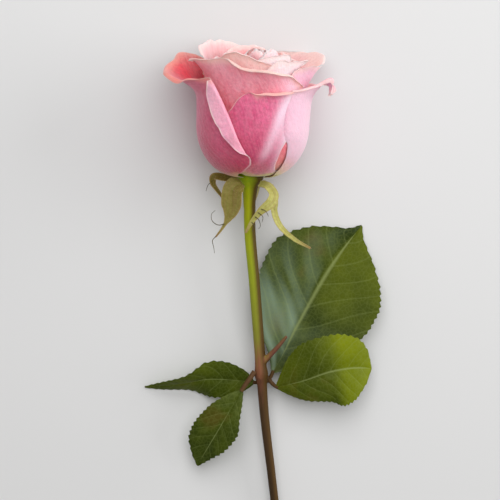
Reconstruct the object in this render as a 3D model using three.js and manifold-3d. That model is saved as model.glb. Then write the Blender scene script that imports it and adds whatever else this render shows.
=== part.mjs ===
// A cut pink rose on its stem, lying on a table as it would be put down after cutting.
// Millimetres. +Y runs up the stem towards the flower, +Z points up from the table, and the table is z = 0.
import * as THREE from "three";
import { mergeVertices } from "three/addons/utils/BufferGeometryUtils.js";
import Module from "manifold-3d";

const wasm = await Module();
wasm.setup();

// Driving dimensions
const BLOOM_BASE = new THREE.Vector3(-4.7, 71.4, 16.8); // where the stem meets the flower
const BLOOM_RISE = 10; // degrees that the flower's axis rises off the table
const BLOOM_LEAN = 2.5; // degrees that it leans to the right
const BODY_RADIUS = 21.9; // the outermost layer of petals at the belly
const PITCH = 1.35; // from one layer of petals to the next
const BELLY_HEIGHT = 20.6; // where the bowl of every petal turns into its wall
const BLOOM_HEIGHT = 50.6; // about where the innermost rims are
const DOME_RADIUS = 5.2; // the green cup that carries the petals
const DOME_HEIGHT = 8.5;
const FIRST_SEAT = 0.6; // height of the outermost claws on the cup
const SEAT_PITCH = 0.6; // how much higher a claw sits for each millimetre its petal lies further in
const SEAT_GAP = 0.65; // from the cup to the middle of a petal's claw
const PETAL_THICKNESS = 0.65;
const BLADE_THICKNESS = 0.7; // of the leaves and sepals

const RAD = Math.PI / 180;
const clamp01 = (x) => Math.min(1, Math.max(0, x));
const mix = (a, b, x) => a + (b - a) * x;
const smooth = (x) => {
  const c = clamp01(x);
  return c * c * (3 - 2 * c);
};
const evenly = (n, from = -1, to = 1) =>
  Array.from({ length: n + 1 }, (_, i) => from + ((to - from) * i) / n);

// The value at x of a smooth line through a few [x, y] points that never swings past them.
function through(points, x) {
  const last = points.length - 1;
  if (x <= points[0][0]) return points[0][1];
  if (x >= points[last][0]) return points[last][1];
  const slope = (i) => (points[i + 1][1] - points[i][1]) / (points[i + 1][0] - points[i][0]);
  const bend = (i) => {
    if (i === 0) return slope(0);
    if (i === last) return slope(last - 1);
    const [before, after] = [slope(i - 1), slope(i)];
    return before * after <= 0 ? 0 : (2 * before * after) / (before + after);
  };
  const i = points.findIndex((p) => p[0] > x) - 1;
  const span = points[i + 1][0] - points[i][0];
  const u = (x - points[i][0]) / span;
  const [a, b] = [points[i][1], points[i + 1][1]];
  const [p, q] = [bend(i) * span, bend(i + 1) * span];
  return a + u * (p + u * (3 * (b - a) - 2 * p - q + u * (2 * (a - b) + p + q)));
}

// Rings of points, all with the same even count, joined in order and closed at both ends.
// The second half of a ring is the other face of a thin sheet, so it is split into triangles the same way.
function loft(rings) {
  const n = rings[0].length;
  const half = n / 2;
  const index = [];
  for (let j = 0; j + 1 < rings.length; j++)
    for (let i = 0; i < n; i++) {
      const next = (i + 1) % n;
      const [a, b, c, d] = [j * n + i, j * n + next, (j + 1) * n + next, (j + 1) * n + i];
      if (i < half) index.push(a, b, c, a, c, d);
      else index.push(a, b, d, b, c, d);
    }
  const last = (rings.length - 1) * n;
  for (let i = 0; i + 1 < half; i++) {
    const [a, b, c, d] = [i, i + 1, n - 2 - i, n - 1 - i];
    index.push(a, d, b, b, d, c);
    index.push(last + a, last + b, last + d, last + b, last + c, last + d);
  }
  return new THREE.BufferGeometry().setFromPoints(rings.flat()).setIndex(index);
}

// A sheet of even thickness round the surface at(s, t), with s from -1 to 1 and t from 0 to 1.
// Its thickness is laid off square to the surface even(s, t), which may leave out the teeth of an edge.
function sheet(at, columns, rows, thickness, even = at) {
  const step = 1e-3;
  const normal = (s, t) => {
    const across = even(s + step, t).sub(even(s - step, t));
    const [low, high] = [Math.max(0, t - step), Math.min(1, t + step)];
    return across.cross(even(s, high).sub(even(s, low))).normalize();
  };
  const rings = rows.map((t) => {
    const face = (side, order) =>
      order.map((s) => at(s, t).addScaledVector(normal(s, t), (side * thickness) / 2));
    return [...face(1, columns), ...face(-1, columns.toReversed())];
  });
  return loft(rings);
}

const spine = (points) => new THREE.CatmullRomCurve3(points.map((p) => new THREE.Vector3(...p)));

// A round bar through the points of a spine, with the radius radius(t) along it.
function bar(points, radius, steps, sides) {
  const curve = spine(points);
  const frames = curve.computeFrenetFrames(steps);
  const rings = evenly(steps, 0, 1).map((t, j) =>
    evenly(sides, 0, 2 * Math.PI)
      .slice(0, sides)
      .map((turn) =>
        curve
          .getPointAt(t)
          .addScaledVector(frames.normals[j], radius(t) * Math.cos(turn))
          .addScaledVector(frames.binormals[j], radius(t) * Math.sin(turn)),
      ),
  );
  return loft(rings);
}

// Joining pieces into one closed body
function solidOf(geometry) {
  const bare = geometry.clone();
  for (const name of Object.keys(bare.attributes)) if (name !== "position") bare.deleteAttribute(name);
  const merged = mergeVertices(bare, 1e-4);
  return new wasm.Manifold(
    new wasm.Mesh({
      numProp: 3,
      vertProperties: merged.attributes.position.array,
      triVerts: new Uint32Array(merged.index.array),
    }),
  );
}
const SLIVER = 0.01; // facets smaller than this are merged where pieces join
function fused(geometries) {
  const whole = geometries.map(solidOf).reduce((sum, piece) => sum.add(piece)).simplify(SLIVER);
  const mesh = whole.getMesh();
  return new THREE.BufferGeometry()
    .setAttribute("position", new THREE.BufferAttribute(mesh.vertProperties, 3))
    .setIndex(new THREE.BufferAttribute(mesh.triVerts, 1));
}

// Finishes: colour, roughness
const finish = (color, roughness) => new THREE.MeshStandardMaterial({ color, roughness, metalness: 0 });
const PETAL_OUTER = finish("#dd8fab", 0.55);
const PETAL_INNER = finish("#f0b7b0", 0.55);
const LEAF = finish("#3f4f1c", 0.45);
const SEPAL = finish("#8f8f45", 0.6);
const STEM = finish("#6d7030", 0.5);

// The flower has a frame of its own: z is its axis, and azimuth 0 is its front, which faces up from the table.
const rose = new THREE.Group();
const flower = new THREE.Group();
flower.position.copy(BLOOM_BASE);
flower.rotation.set(-(90 - BLOOM_RISE) * RAD, BLOOM_LEAN * RAD, 0, "XYZ");
flower.updateMatrix();
rose.add(flower);
const toFlower = flower.matrix.clone().invert();
const inFlower = (azimuth, radius, height) =>
  new THREE.Vector3(radius * Math.sin(azimuth * RAD), -radius * Math.cos(azimuth * RAD), height);
const wrapped = (azimuth) => ((((azimuth + 180) % 360) + 360) % 360) - 180;

function place(parent, name, geometry, material) {
  const mesh = new THREE.Mesh(geometry, material);
  mesh.name = name;
  parent.add(mesh);
}

// The layers of petals. Each has its own belly radius, and layers further out flare more and sooner,
// so that no two layers can touch wherever their petals happen to overlap.
const FLARE_FROM = 30; // height at which the outermost layer begins to flare
const FLARE_SPAN = 12; // height over which it flares by the amount in FLARES
const FLARES = [ // azimuth, millimetres
  [-180, 3.5], [-135, 3.2], [-112, 3.2], [-98, 5.2], [-88, 10.4], [-80, 15], [-70, 20], [-60, 11.5],
  [-45, 1.8], [-20, 4], [10, 6], [40, 5], [62, 7.4], [86, 7.6], [100, 7.2], [120, 5.6], [145, 5], [180, 3.5],
];
const FLARE_DELAY = 1.5; // how much higher a layer begins to flare for each millimetre it lies further in
const FLARE_POWER = 2.2; // how sharply the flare sets in
const FLARE_FADE = 4.5; // how fast it fades from layer to layer
const BOW = 3.2; // how far the walls of the outer layers bow outwards over the bloom's height
const BOWED_LAYER = 16; // layers inside this one bow less
const CLOSING = 0.45; // how strongly the small layers close over the heart
const CLOSED_LAYER = 15; // only layers inside this one close
const RIPPLE = 0.5; // the waves round the rims
const RIPPLE_FROM = 33;
const RIPPLE_SPAN = 8;
const RIPPLE_COUNT = 5;

// Layers are counted inwards from the outermost one.
const layerOf = (count) => BODY_RADIUS - PITCH * count;

function seat(layer) {
  const height = FIRST_SEAT + SEAT_PITCH * (BODY_RADIUS - layer);
  return { radius: DOME_RADIUS * Math.sqrt(1 - (height / DOME_HEIGHT) ** 2) + SEAT_GAP, height };
}

// How far from the axis a layer lies at that azimuth and height.
function layerRadius(layer, azimuth, height, foot) {
  if (height < BELLY_HEIGHT) {
    const down = (BELLY_HEIGHT - height) / (BELLY_HEIGHT - foot.height);
    return foot.radius + (layer - foot.radius) * Math.sqrt(Math.max(0, 1 - down * down));
  }
  const outwards = layer / BODY_RADIUS;
  const risen = ((height - BELLY_HEIGHT) / (BLOOM_HEIGHT - BELLY_HEIGHT)) ** 2;
  const flareFrom = FLARE_FROM + FLARE_DELAY * (BODY_RADIUS - layer);
  const flaring = Math.max(0, (height - flareFrom) / FLARE_SPAN) ** FLARE_POWER;
  const flare = through(FLARES, wrapped(azimuth)) * flaring * outwards ** FLARE_FADE;
  const bow = BOW * risen * Math.min(1, layer / BOWED_LAYER);
  const closing = CLOSING * risen * layer * Math.max(0, 1 - layer / CLOSED_LAYER);
  const wave = Math.sin(RIPPLE_COUNT * azimuth * RAD + 0.7) * smooth((height - RIPPLE_FROM) / RIPPLE_SPAN);
  return layer + bow + flare - closing + RIPPLE * wave * outwards ** 2;
}

// A petal's middle surface. Its outline is the height of its rim, for s from -1 at its left edge to 1 at
// its right, and how many degrees each edge lies from its middle at each height.
const BOWL_ROWS = 0.45; // the share of a petal's rows that lies in its bowl
const WALL_ROWS = 0.9; // and the share up to where the rim begins to roll outwards
const ROLL = 55; // degrees from a wall's end to its rim; the arc between them turns twice that
const TIGHTEST_BEND = 0.6; // radius of the narrowest rolls
const WIDEST_BEND = 9;
const SLOPE_STEP = 0.5;
const LEVEL = [[-1, 0], [1, 0]];
function petalPoint(petal, s, t) {
  const foot = petal.foot ?? seat(petal.layer);
  const bowl = 1 - Math.cos((clamp01(t / BOWL_ROWS) * Math.PI) / 2);
  const wall = clamp01((t - BOWL_ROWS) / (WALL_ROWS - BOWL_ROWS));
  const height = mix(mix(foot.height, BELLY_HEIGHT, bowl), through(petal.rim, s), wall);
  const edge = through(s < 0 ? petal.left : petal.right, height);
  const azimuth = petal.azimuth + edge * Math.abs(s);
  const layer = petal.layer + (petal.spiral ?? 0) * s - through(petal.inward ?? LEVEL, s);
  const radius = layerRadius(layer, azimuth, height, foot);
  if (t <= WALL_ROWS) return inFlower(azimuth, radius, height);
  // the rolled rim goes on from the wall's own slope, turns outwards along an arc, and may run straight on
  const slope = Math.atan2(radius - layerRadius(layer, azimuth, height - SLOPE_STEP, foot), SLOPE_STEP);
  const share = (t - WALL_ROWS) / (1 - WALL_ROWS);
  const hem = through(petal.hem, s);
  const roll = 2 * RAD * (petal.roll ? through(petal.roll, s) : ROLL);
  const bend = Math.min(Math.max(hem / Math.abs(roll), TIGHTEST_BEND), petal.bend ?? WIDEST_BEND);
  const bent = Math.min(Math.abs(roll), (hem * share) / bend);
  const beyond = hem * share - bent * bend;
  const way = Math.sign(roll); // outwards, or inwards over the heart
  const end = slope + way * bent;
  const out = way * bend * (Math.cos(slope) - Math.cos(end)) + beyond * Math.sin(end);
  const up = way * bend * (Math.sin(end) - Math.sin(slope)) + beyond * Math.cos(end);
  return inFlower(azimuth, radius + out, height + up);
}

// The fold of a right edge that is turned back outwards: for s from 1 to 2, a band beyond the edge.
const FOLD_RADIUS = 0.9;
function foldedPoint(petal, s, t) {
  if (s <= 1) return petalPoint(petal, s, t);
  const step = 0.01;
  const start = petalPoint(petal, 1, t);
  const across = start.clone().sub(petalPoint(petal, 1 - step, t)).normalize();
  const along = petalPoint(petal, 1, Math.min(1, t + step)).sub(petalPoint(petal, 1, Math.max(0, t - step)));
  const out = across.clone().cross(along).normalize();
  const run = (s - 1) * through(petal.fold.width, t);
  const bent = Math.min(through(petal.fold.angle, t) * RAD, run / FOLD_RADIUS);
  const rest = run - bent * FOLD_RADIUS;
  return start
    .addScaledVector(across, FOLD_RADIUS * Math.sin(bent) + rest * Math.cos(bent))
    .addScaledVector(out, FOLD_RADIUS * (1 - Math.cos(bent)) + rest * Math.sin(bent));
}

// The edges of a petal that widens from a claw into a full blade, and a petal with such edges and a round rim.
const wing = (half) => [[1, half * 0.5], [5, half * 0.775], [13, half * 0.93], [22, half], [50, half * 0.92]];
const mirrored = (points) => points.map(([height, degrees]) => [height, -degrees]);
const ROUND_RIM = [[-1, -5], [-0.75, -1.6], [-0.35, 0], [0.3, 0.3], [0.75, -1.2], [1, -5]];
const round = (name, azimuth, half, layer, height, more = {}) => ({
  name, azimuth, layer, left: mirrored(wing(half)), right: wing(half),
  rim: ROUND_RIM.map(([s, down]) => [s, height + down]),
  hem: [[-1, 0.8], [0, 1.6], [1, 0.8]],
  ...more,
});

const PETALS = [
  // The outer five
  {
    name: "petal_front", azimuth: 10, layer: layerOf(1),
    left: mirrored([[1, 22], [5, 31], [12, 38], [20, 41], [28, 37]]),
    right: [
      [1, 50], [2.1, 46], [3.5, 37], [5.6, 30], [8, 27], [12, 26.3], [15.6, 28.6], [21, 38], [30, 54], [38, 60],
    ],
    rim: [[-1, 27], [-0.4, 34.9], [-0.2, 34.5], [0.1, 34.4], [0.35, 34.8], [0.65, 36], [1, 36.8]],
    hem: [[-1, 0.7], [-0.45, 0.8], [-0.25, 1.3], [0, 2.2], [0.28, 3], [0.38, 1], [0.5, 0.4], [1, 0.4]],
    roll: [[-1, 60], [-0.2, 65], [0, 80], [0.5, 80], [1, 60]],
  },
  {
    name: "petal_left", azimuth: -78, layer: layerOf(0),
    left: mirrored([[1, 42], [4, 54], [10, 63], [20, 67], [47, 60]]),
    right: [[0.6, 44], [2, 49], [4, 63], [8, 75], [10, 75], [11.3, 70.4], [25, 52.3], [40.4, 32]],
    rim: [
      [-1, 42.5], [-0.78, 45.8], [-0.53, 46.2], [-0.33, 44.2], [-0.16, 42], [0, 40.4], [0.31, 37.6],
      [0.62, 38.8], [1, 39.6],
    ],
    hem: [[-1, 0.8], [-0.2, 1.6], [0.1, 2.2], [0.3, 3], [0.5, 2], [0.7, 1.2], [1, 0.7]],
    roll: [[-1, 35], [0.1, 40], [0.3, 50], [1, 35]],
    fold: {
      width: [[0, 0.6], [0.2, 0.8], [0.3, 1], [0.35, 4.2], [0.43, 7], [0.55, 8], [0.75, 6.6], [0.92, 2.4], [1, 1]],
      angle: [[0, 0], [0.2, 12], [0.32, 120], [0.4, 165], [0.8, 165], [0.92, 110], [1, 60]],
    },
  },
  {
    name: "petal_right", azimuth: 90, layer: layerOf(0),
    left: mirrored([
      [1, 12], [2.1, 20], [3.5, 33], [5.7, 44], [9.2, 49], [12.5, 50.4], [15.7, 50.6], [17.4, 54], [21, 57],
      [28, 57], [37, 49],
    ]),
    right: wing(50),
    rim: [
      [-1, 35.3], [-0.85, 36], [-0.66, 36.8], [-0.48, 37.9], [-0.3, 38.8], [-0.1, 39.4], [0.1, 39.8],
      [0.5, 40.5], [1, 39],
    ],
    hem: [[-1, 2.2], [-0.6, 2.4], [-0.4, 3], [-0.27, 6.4], [-0.02, 7], [0.06, 5], [0.13, 2], [1, 0.8]],
    roll: [[-1, 80], [-0.5, 76], [-0.25, 64], [0.05, 64], [0.2, 50], [1, 45]],
    bend: 1.6,
  },
  round("petal_back_right", 140, 52, layerOf(1), 46, {
    left: mirrored([
      [1, 26], [5, 38], [13, 46], [22, 48], [32, 36], [38, 16], [42, 12], [44.5, 22], [46.5, 36], [50, 38],
    ]),
    rim: [
      [-1, 42], [-0.93, 43.6], [-0.85, 45.2], [-0.7, 46.4], [-0.4, 46.8], [0, 46.6], [0.4, 46.2], [1, 42],
    ],
  }),
  round("petal_back_left", -148, 48, layerOf(2), 43.5),
  // The second round
  round("petal_inner_front", -15, 70, layerOf(3), 46, {
    right: wing(78),
    rim: [
      [-1, 45.5], [-0.9, 46.2], [-0.6, 46.4], [-0.26, 46.8], [-0.11, 45.1], [0.03, 43.9], [0.21, 43.6],
      [0.39, 43.3], [0.55, 42.3], [0.68, 41.4], [0.82, 39.4], [1, 36.8],
    ],
    hem: [[-1, 1.6], [-0.8, 0.9], [-0.3, 1], [-0.12, 2.2], [0.2, 2.6], [0.5, 2], [0.8, 1.6], [1, 1]],
    roll: [[-1, 55], [-0.3, 50], [-0.1, 75], [0.5, 75], [1, 50]],
    inward: [[-1, 0], [0.15, 0], [0.42, -PITCH], [1, -PITCH]],
  }),
  round("petal_inner_right", 64, 28, layerOf(3), 44.2, {
    left: mirrored([[1, 8], [5, 10], [9, 10], [13, 20], [17, 32], [22, 30], [30, 24], [36, 20], [50, 20]]),
    right: [[1, 16], [5, 22], [13, 24], [28, 16], [36, 8], [42, 6], [50, 6]],
    rim: [[-1, 40.8], [-0.8, 42.2], [-0.5, 43.2], [0, 43.6], [1, 43.2]],
    hem: [[-1, 0.6], [-0.5, 2], [0, 3], [1, 3]],
    roll: [[-1, 40], [1, 40]],
  }),
  round("petal_inner_left", -128, 40, layerOf(3), 50.6, {
    right: [[1, 20], [5, 31], [13, 40], [22, 50], [40, 66], [52, 68]],
    rim: [
      [-1, 46.5], [-0.6, 49.6], [-0.3, 50.6], [-0.1, 49.8], [0.1, 50.8], [0.3, 50.2], [0.5, 49.2],
      [0.62, 48], [0.75, 46], [0.85, 44], [1, 42],
    ],
    inward: [[-1, 0], [-0.5, 0], [0.6, PITCH], [1, PITCH]],
  }),
  round("petal_pointed", 39, 26, layerOf(4), 45, {
    left: mirrored([[1, 15], [5, 24], [13, 28], [22, 30], [50, 26]]),
    right: [[1, 15], [5, 24], [13, 30], [22, 30], [34, 16], [41, 13], [44.5, 28], [47.5, 48], [50, 50]],
    rim: [
      [-1, 43], [-0.75, 45.8], [-0.3, 47.2], [0.1, 46.7], [0.45, 46.5], [0.75, 46.8], [0.85, 45.3],
      [0.93, 43.4], [1, 41.2],
    ],
    hem: [[-1, 0.6], [0.5, 1], [0.75, 1.7], [0.9, 0.8], [1, 0.5]],
  }),
  round("petal_salmon", -25, 52, layerOf(5), 49, {
    rim: [
      [-1, 45.4], [-0.44, 47], [-0.21, 48.6], [0.06, 49.4], [0.27, 48.8], [0.42, 47.7], [0.58, 46.6],
      [0.85, 45.4], [1, 45.4],
    ],
  }),
  round("petal_inner_back", 147, 42, layerOf(3), 42.5),
  // The third, fourth and fifth rounds
  round("petal_third_front", 25, 45, layerOf(6), 46.6, {
    rim: [[-1, 44.5], [-0.5, 47], [-0.15, 48], [0.25, 49], [0.6, 48.6], [1, 44.5]],
    hem: [[-1, 0.6], [0, 1], [1, 0.6]],
  }),
  round("petal_third_right", 118, 46, layerOf(6), 45.5),
  round("petal_third_left", -110, 58, layerOf(6), 47.2),
  round("petal_fourth_front", -40, 55, layerOf(7), 45.6),
  round("petal_fourth_right", 72, 45, layerOf(7), 45.8),
  round("petal_fourth_back", -168, 50, layerOf(7), 49.4),
  round("petal_fifth_front", 15, 54, layerOf(8), 45),
  round("petal_fifth_right", 126, 52, layerOf(8), 47.6),
  round("petal_fifth_left", -110, 54, layerOf(8), 46.6),
];
const OUTER_LAYERS = 3.5; // layers that show most, and are cut finer
const PINK_LAYERS = 3.5; // layers whose backs are pink and not salmon
const OUTER_ROWS = [0, 0.09, 0.18, 0.27, 0.36, 0.45, 0.54, 0.64, 0.74, 0.83, 0.9, 0.95, 1];
const INNER_ROWS = [0, 0.09, 0.18, 0.27, 0.36, 0.45, 0.6, 0.76, 0.9, 1];
const OUTER_COLUMNS = evenly(10);
const INNER_COLUMNS = evenly(8);
const FOLD_COLUMNS = [1.12, 1.26, 1.4, 1.7, 2];

// The petals underneath are pressed flat where they lie on the table.
function onTable(point) {
  const placed = point.applyMatrix4(flower.matrix);
  placed.z = Math.max(placed.z, PETAL_THICKNESS / 2);
  return placed.applyMatrix4(toFlower);
}

for (const petal of PETALS) {
  const fine = petal.layer > layerOf(OUTER_LAYERS);
  const columns = fine ? OUTER_COLUMNS : INNER_COLUMNS;
  const rows = fine ? OUTER_ROWS : INNER_ROWS;
  const geometry = petal.fold
    ? sheet((s, t) => foldedPoint(petal, s, t), [...columns, ...FOLD_COLUMNS], rows, PETAL_THICKNESS)
    : sheet((s, t) => onTable(petalPoint(petal, s, t)), columns, rows, PETAL_THICKNESS);
  place(flower, petal.name, geometry, petal.layer > layerOf(PINK_LAYERS) ? PETAL_OUTER : PETAL_INNER);
}

// The heart: small petals wound round a core, all grown together, a little to the right of the axis.
const HEART_FOOT = DOME_HEIGHT + 0.3;
const HEART_PETALS = 7;
const HEART_LAYERS = [7.2, 2]; // belly radius of the first and the last of them
const HEART_RIMS = [46.6, 47.6]; // height at which each begins to close
const HEART_HEMS = [4.5, 2.2]; // length that curls in over the heart
const HEART_ROLL = -32;
const HEART_HALVES = [78, 100]; // degrees from the middle of each to its edge
const HEART_SEATS = [10.5, 18]; // height at which each leaves the core
const HEART_SHIFT = 1.6;
const GOLDEN_ANGLE = 137.5;
const HEART_ROWS = [0, 0.22, 0.45, 0.6, 0.76, 0.9, 0.95, 1];
function heartPoint(petal, s, t) {
  const point = petalPoint(petal, s, t);
  const risen = Math.max(0, point.z - BELLY_HEIGHT) / (BLOOM_HEIGHT - BELLY_HEIGHT);
  point.x += HEART_SHIFT * risen ** 2;
  return point;
}
const heartPieces = [
  bar(
    [[0, 0, HEART_FOOT], [0, 0, 20], [0.4, 0, 32], [1.2, 0, 43]],
    (t) => through([[0, 2.6], [0.25, 3.6], [0.6, 2.2], [1, 0.9]], t),
    6,
    8,
  ),
];
for (let k = 0; k < HEART_PETALS; k++) {
  const between = ([first, last]) => mix(first, last, k / (HEART_PETALS - 1));
  const azimuth = wrapped(60 + GOLDEN_ANGLE * k);
  const petal = round("heart", azimuth, between(HEART_HALVES), between(HEART_LAYERS), between(HEART_RIMS), {
    foot: { radius: 1.5, height: between(HEART_SEATS) },
    spiral: 0.4,
    hem: [[-1, between(HEART_HEMS) / 2], [0, between(HEART_HEMS)], [1, between(HEART_HEMS) / 2]],
    roll: [[-1, HEART_ROLL], [1, HEART_ROLL]],
  });
  heartPieces.push(sheet((s, t) => heartPoint(petal, s, t), INNER_COLUMNS, HEART_ROWS, PETAL_THICKNESS));
}
place(flower, "heart", fused(heartPieces), PETAL_INNER);

// The stem with the cup that carries the petals, the swollen joint where the leaves grow, and a cut side shoot.
const STEM_POINTS = [
  [-4.7, 71.4, 16.7], [-5, 51.9, 13.4], [-3.3, 31.6, 10.8], [-1.75, 11.7, 8.8], [-0.5, -5, 7.6],
  [0.8, -22.2, 6.2], [3.7, -46.8, 4.6], [7.4, -78, 3], [10.8, -103, 2], [14, -125.4, 1.6],
];
const STEM_RADII = [[0, 2.35], [0.35, 2.15], [0.375, 2.3], [0.395, 2.75], [0.415, 2], [0.6, 1.7], [1, 1.55]];
const CUP_PROFILE = [ // height, radius
  [-12, 2.3], [-8, 2.6], [-4, 3.1], [-1.5, 4.3], [0, DOME_RADIUS],
  [2.5, 4.97], [4.7, 4.33], [6.6, 3.28], [7.9, 1.9],
];
const SHOOT_POINTS = [[-0.3, -2.5, 7.8], [2.5, 0.8, 9.2], [6, 4.6, 10.9], [9.6, 9, 12.2]];
const cupOutline = [
  new THREE.Vector2(0, CUP_PROFILE[0][0]),
  ...CUP_PROFILE.map(([height, radius]) => new THREE.Vector2(radius, height)),
  new THREE.Vector2(0, DOME_HEIGHT),
];
const stemPieces = [
  bar(STEM_POINTS, (t) => through(STEM_RADII, t), 30, 12),
  new THREE.LatheGeometry(cupOutline, 20).rotateX(Math.PI / 2).applyMatrix4(flower.matrix),
  bar(SHOOT_POINTS, (t) => mix(1.5, 0.8, t), 6, 8),
];
place(rose, "stem", fused(stemPieces), STEM);

// A blade along a spine. ups says which way its upper face looks along the spine, left and right are half
// widths in millimetres against the share of its length, and folds are the degrees its halves are raised.
const TOOTHED_FROM = 0.99;
function bladeSurface({ points, ups, left, right, folds, curl = 0, teeth = 0, depth = 0 }) {
  const curve = spine(points);
  const turns = ups.map((up) => new THREE.Vector3(...up).normalize());
  const upAt = (t) => {
    const along = t * (turns.length - 1);
    const i = Math.min(turns.length - 2, Math.floor(along));
    return turns[i].clone().lerp(turns[i + 1], smooth(along - i));
  };
  return (s, t) => {
    const ahead = curve.getTangentAt(t);
    const side = new THREE.Vector3().crossVectors(ahead, upAt(t)).normalize();
    const up = new THREE.Vector3().crossVectors(side, ahead).normalize();
    const a = Math.abs(s);
    const belly = Math.sin(Math.PI * t);
    const toothed = a > TOOTHED_FROM && Math.round(t * teeth * 2) % 2 === 1;
    const reach = through(s < 0 ? left : right, t) * a + (toothed ? depth * Math.sqrt(belly) : 0);
    const fold = (s < 0 ? folds[0] : folds[1]) * RAD;
    return curve
      .getPointAt(t)
      .addScaledVector(side, Math.sign(s) * reach * Math.cos(fold))
      .addScaledVector(up, reach * Math.sin(fold) + curl * a * a * belly);
  };
}
function blade(shape, across, rows) {
  const even = bladeSurface({ ...shape, teeth: 0 });
  return sheet(bladeSurface(shape), evenly(across), evenly(rows, 0, 1), BLADE_THICKNESS, even);
}

// The sepals, bent back under the flower, in the flower's own frame.
const tapering = (widest, at = 0.3) => [[0, 1.4], [at, widest], [0.7, widest * 0.55], [1, 0.4]];
const SEPALS = [
  {
    name: "sepal_front_left",
    points: [[-3.3, -3.4, -2.1], [-6.3, -5.2, -4], [-6.9, -5.2, -13], [-9.6, -4.7, -19], [-12.6, -4.4, -23.5]],
    ups: [[-0.3, -1, 0.3], [-0.6, -1, 0]],
    left: [[0, 1.8], [0.12, 4.3], [0.45, 4.4], [0.7, 2.2], [0.85, 1], [1, 0.4]],
    right: [[0, 1.8], [0.12, 4], [0.45, 4.2], [0.7, 2.2], [0.85, 1], [1, 0.4]],
    folds: [18, 18],
  },
  {
    name: "sepal_left",
    points: [
      [-5.15, 1.7, -1.8], [-10, 2.5, -1.2], [-14.3, 3, -1], [-14.8, 3.5, -3.4], [-12.3, 3.5, -7],
      [-9.4, 3, -10.5],
    ],
    ups: [[0, -1, 1], [0.6, -1, 0.6]],
    left: tapering(1.8), right: tapering(1.8), folds: [15, 15],
  },
  {
    name: "sepal_front_right",
    points: [
      [3.6, -3.8, -1.9], [6.6, -5.6, -2.4], [9.2, -6.6, -5.6], [8.2, -7.6, -8.6], [4.6, -7.6, -12],
      [1.6, -7, -16], [-1, -6.4, -21],
    ],
    ups: [[0.4, -1, 0.5], [0, -1, 0]],
    left: tapering(2.1, 0.4), right: tapering(2.1, 0.4), folds: [15, 15],
  },
  {
    name: "sepal_right",
    points: [
      [4.45, -1.05, -1.9], [8.2, -1.9, -3.8], [9.6, -2.5, -9], [9.6, -2.5, -12.5], [12, -2.6, -18],
      [18, -3, -23.2], [24.7, -3.4, -26.6],
    ],
    ups: [[1, -1, 0.4], [0.3, -1, 0]],
    left: tapering(1.8, 0.2), right: tapering(1.8, 0.2), folds: [15, 15],
  },
  {
    name: "sepal_back",
    points: [[0.9, 4.6, -1.9], [1.9, 7.4, -2.8], [1.7, 9.2, -7], [0.9, 9.4, -12], [0.2, 9, -18]],
    ups: [[0.2, 1, 1], [0.2, 1, 0.2]],
    left: tapering(2), right: tapering(2), folds: [15, 15],
  },
];
for (const sepal of SEPALS) place(flower, sepal.name, blade(sepal, 4, 11), SEPAL);

// The leaves: one of a single blade in front of the stem, and one of three blades behind it.
const stalk = (points, from, to, steps = 3) => bar(points, (t) => mix(from, to, t), steps, 8);
const FRONT_BLADE = {
  points: [[-8, -12.4, 11.5], [-12.6, -20, 12.4], [-18.4, -30, 10.5], [-25.8, -42.7, 5.5]],
  ups: [[-0.1, 0, 1], [-0.3, 0.1, 1]],
  left: [[0, 0.6], [0.12, 2.8], [0.29, 5.4], [0.46, 8], [0.64, 7], [0.84, 3.4], [1, 0.35]],
  right: [[0, 0.6], [0.12, 4.2], [0.36, 8.5], [0.6, 10], [0.75, 9.2], [0.9, 5], [1, 0.35]],
  folds: [12, 12], curl: -1, teeth: 11, depth: 0.7,
};
const frontLeaf = [
  stalk([[-3.2, -5.2, 10], [-4.8, -7.6, 11], [-6.6, -10, 11.3], [-8.4, -12.8, 11.5]], 1.05, 0.8, 4),
  blade(FRONT_BLADE, 6, 22),
];
place(rose, "leaf_front", fused(frontLeaf), LEAF);

const END_BLADE = {
  points: [
    [4.1, -5.9, 4.1], [8.3, 1.6, 3.6], [13.5, 12, 3], [26.4, 34.6, 1.6], [34, 45.5, 1.1], [39.7, 52.7, 0.7],
  ],
  ups: [[0, 0, 1], [0, 0, 1]],
  left: [
    [0, 0.6], [0.08, 5], [0.2, 13.5], [0.33, 19.5], [0.5, 24], [0.64, 24.8], [0.81, 16.6], [0.88, 10],
    [0.94, 3.4], [1, 0.35],
  ],
  right: [
    [0, 0.6], [0.08, 7], [0.2, 16], [0.33, 22.5], [0.5, 26.2], [0.6, 26], [0.74, 22], [0.84, 15], [0.9, 9],
    [0.95, 3.6], [1, 0.35],
  ],
  folds: [4, 12], curl: 1, teeth: 14, depth: 0.9,
};
const RIGHT_BLADE = {
  points: [[5.5, -11.6, 5.6], [16, -8.8, 10.6], [27, -4.9, 13], [36, -3.6, 11], [43.3, -4, 6.4]],
  ups: [[0, -0.15, 1], [0.3, 0, 1]],
  left: [[0, 0.6], [0.1, 5.5], [0.25, 11.5], [0.45, 14.5], [0.65, 14.2], [0.8, 12.3], [0.93, 7], [1, 0.35]],
  right: [[0, 0.6], [0.1, 4], [0.25, 8], [0.45, 11.5], [0.65, 14.5], [0.8, 12.5], [0.93, 7], [1, 0.35]],
  folds: [6, 8], curl: -1.4, teeth: 11, depth: 0.7,
};
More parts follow.
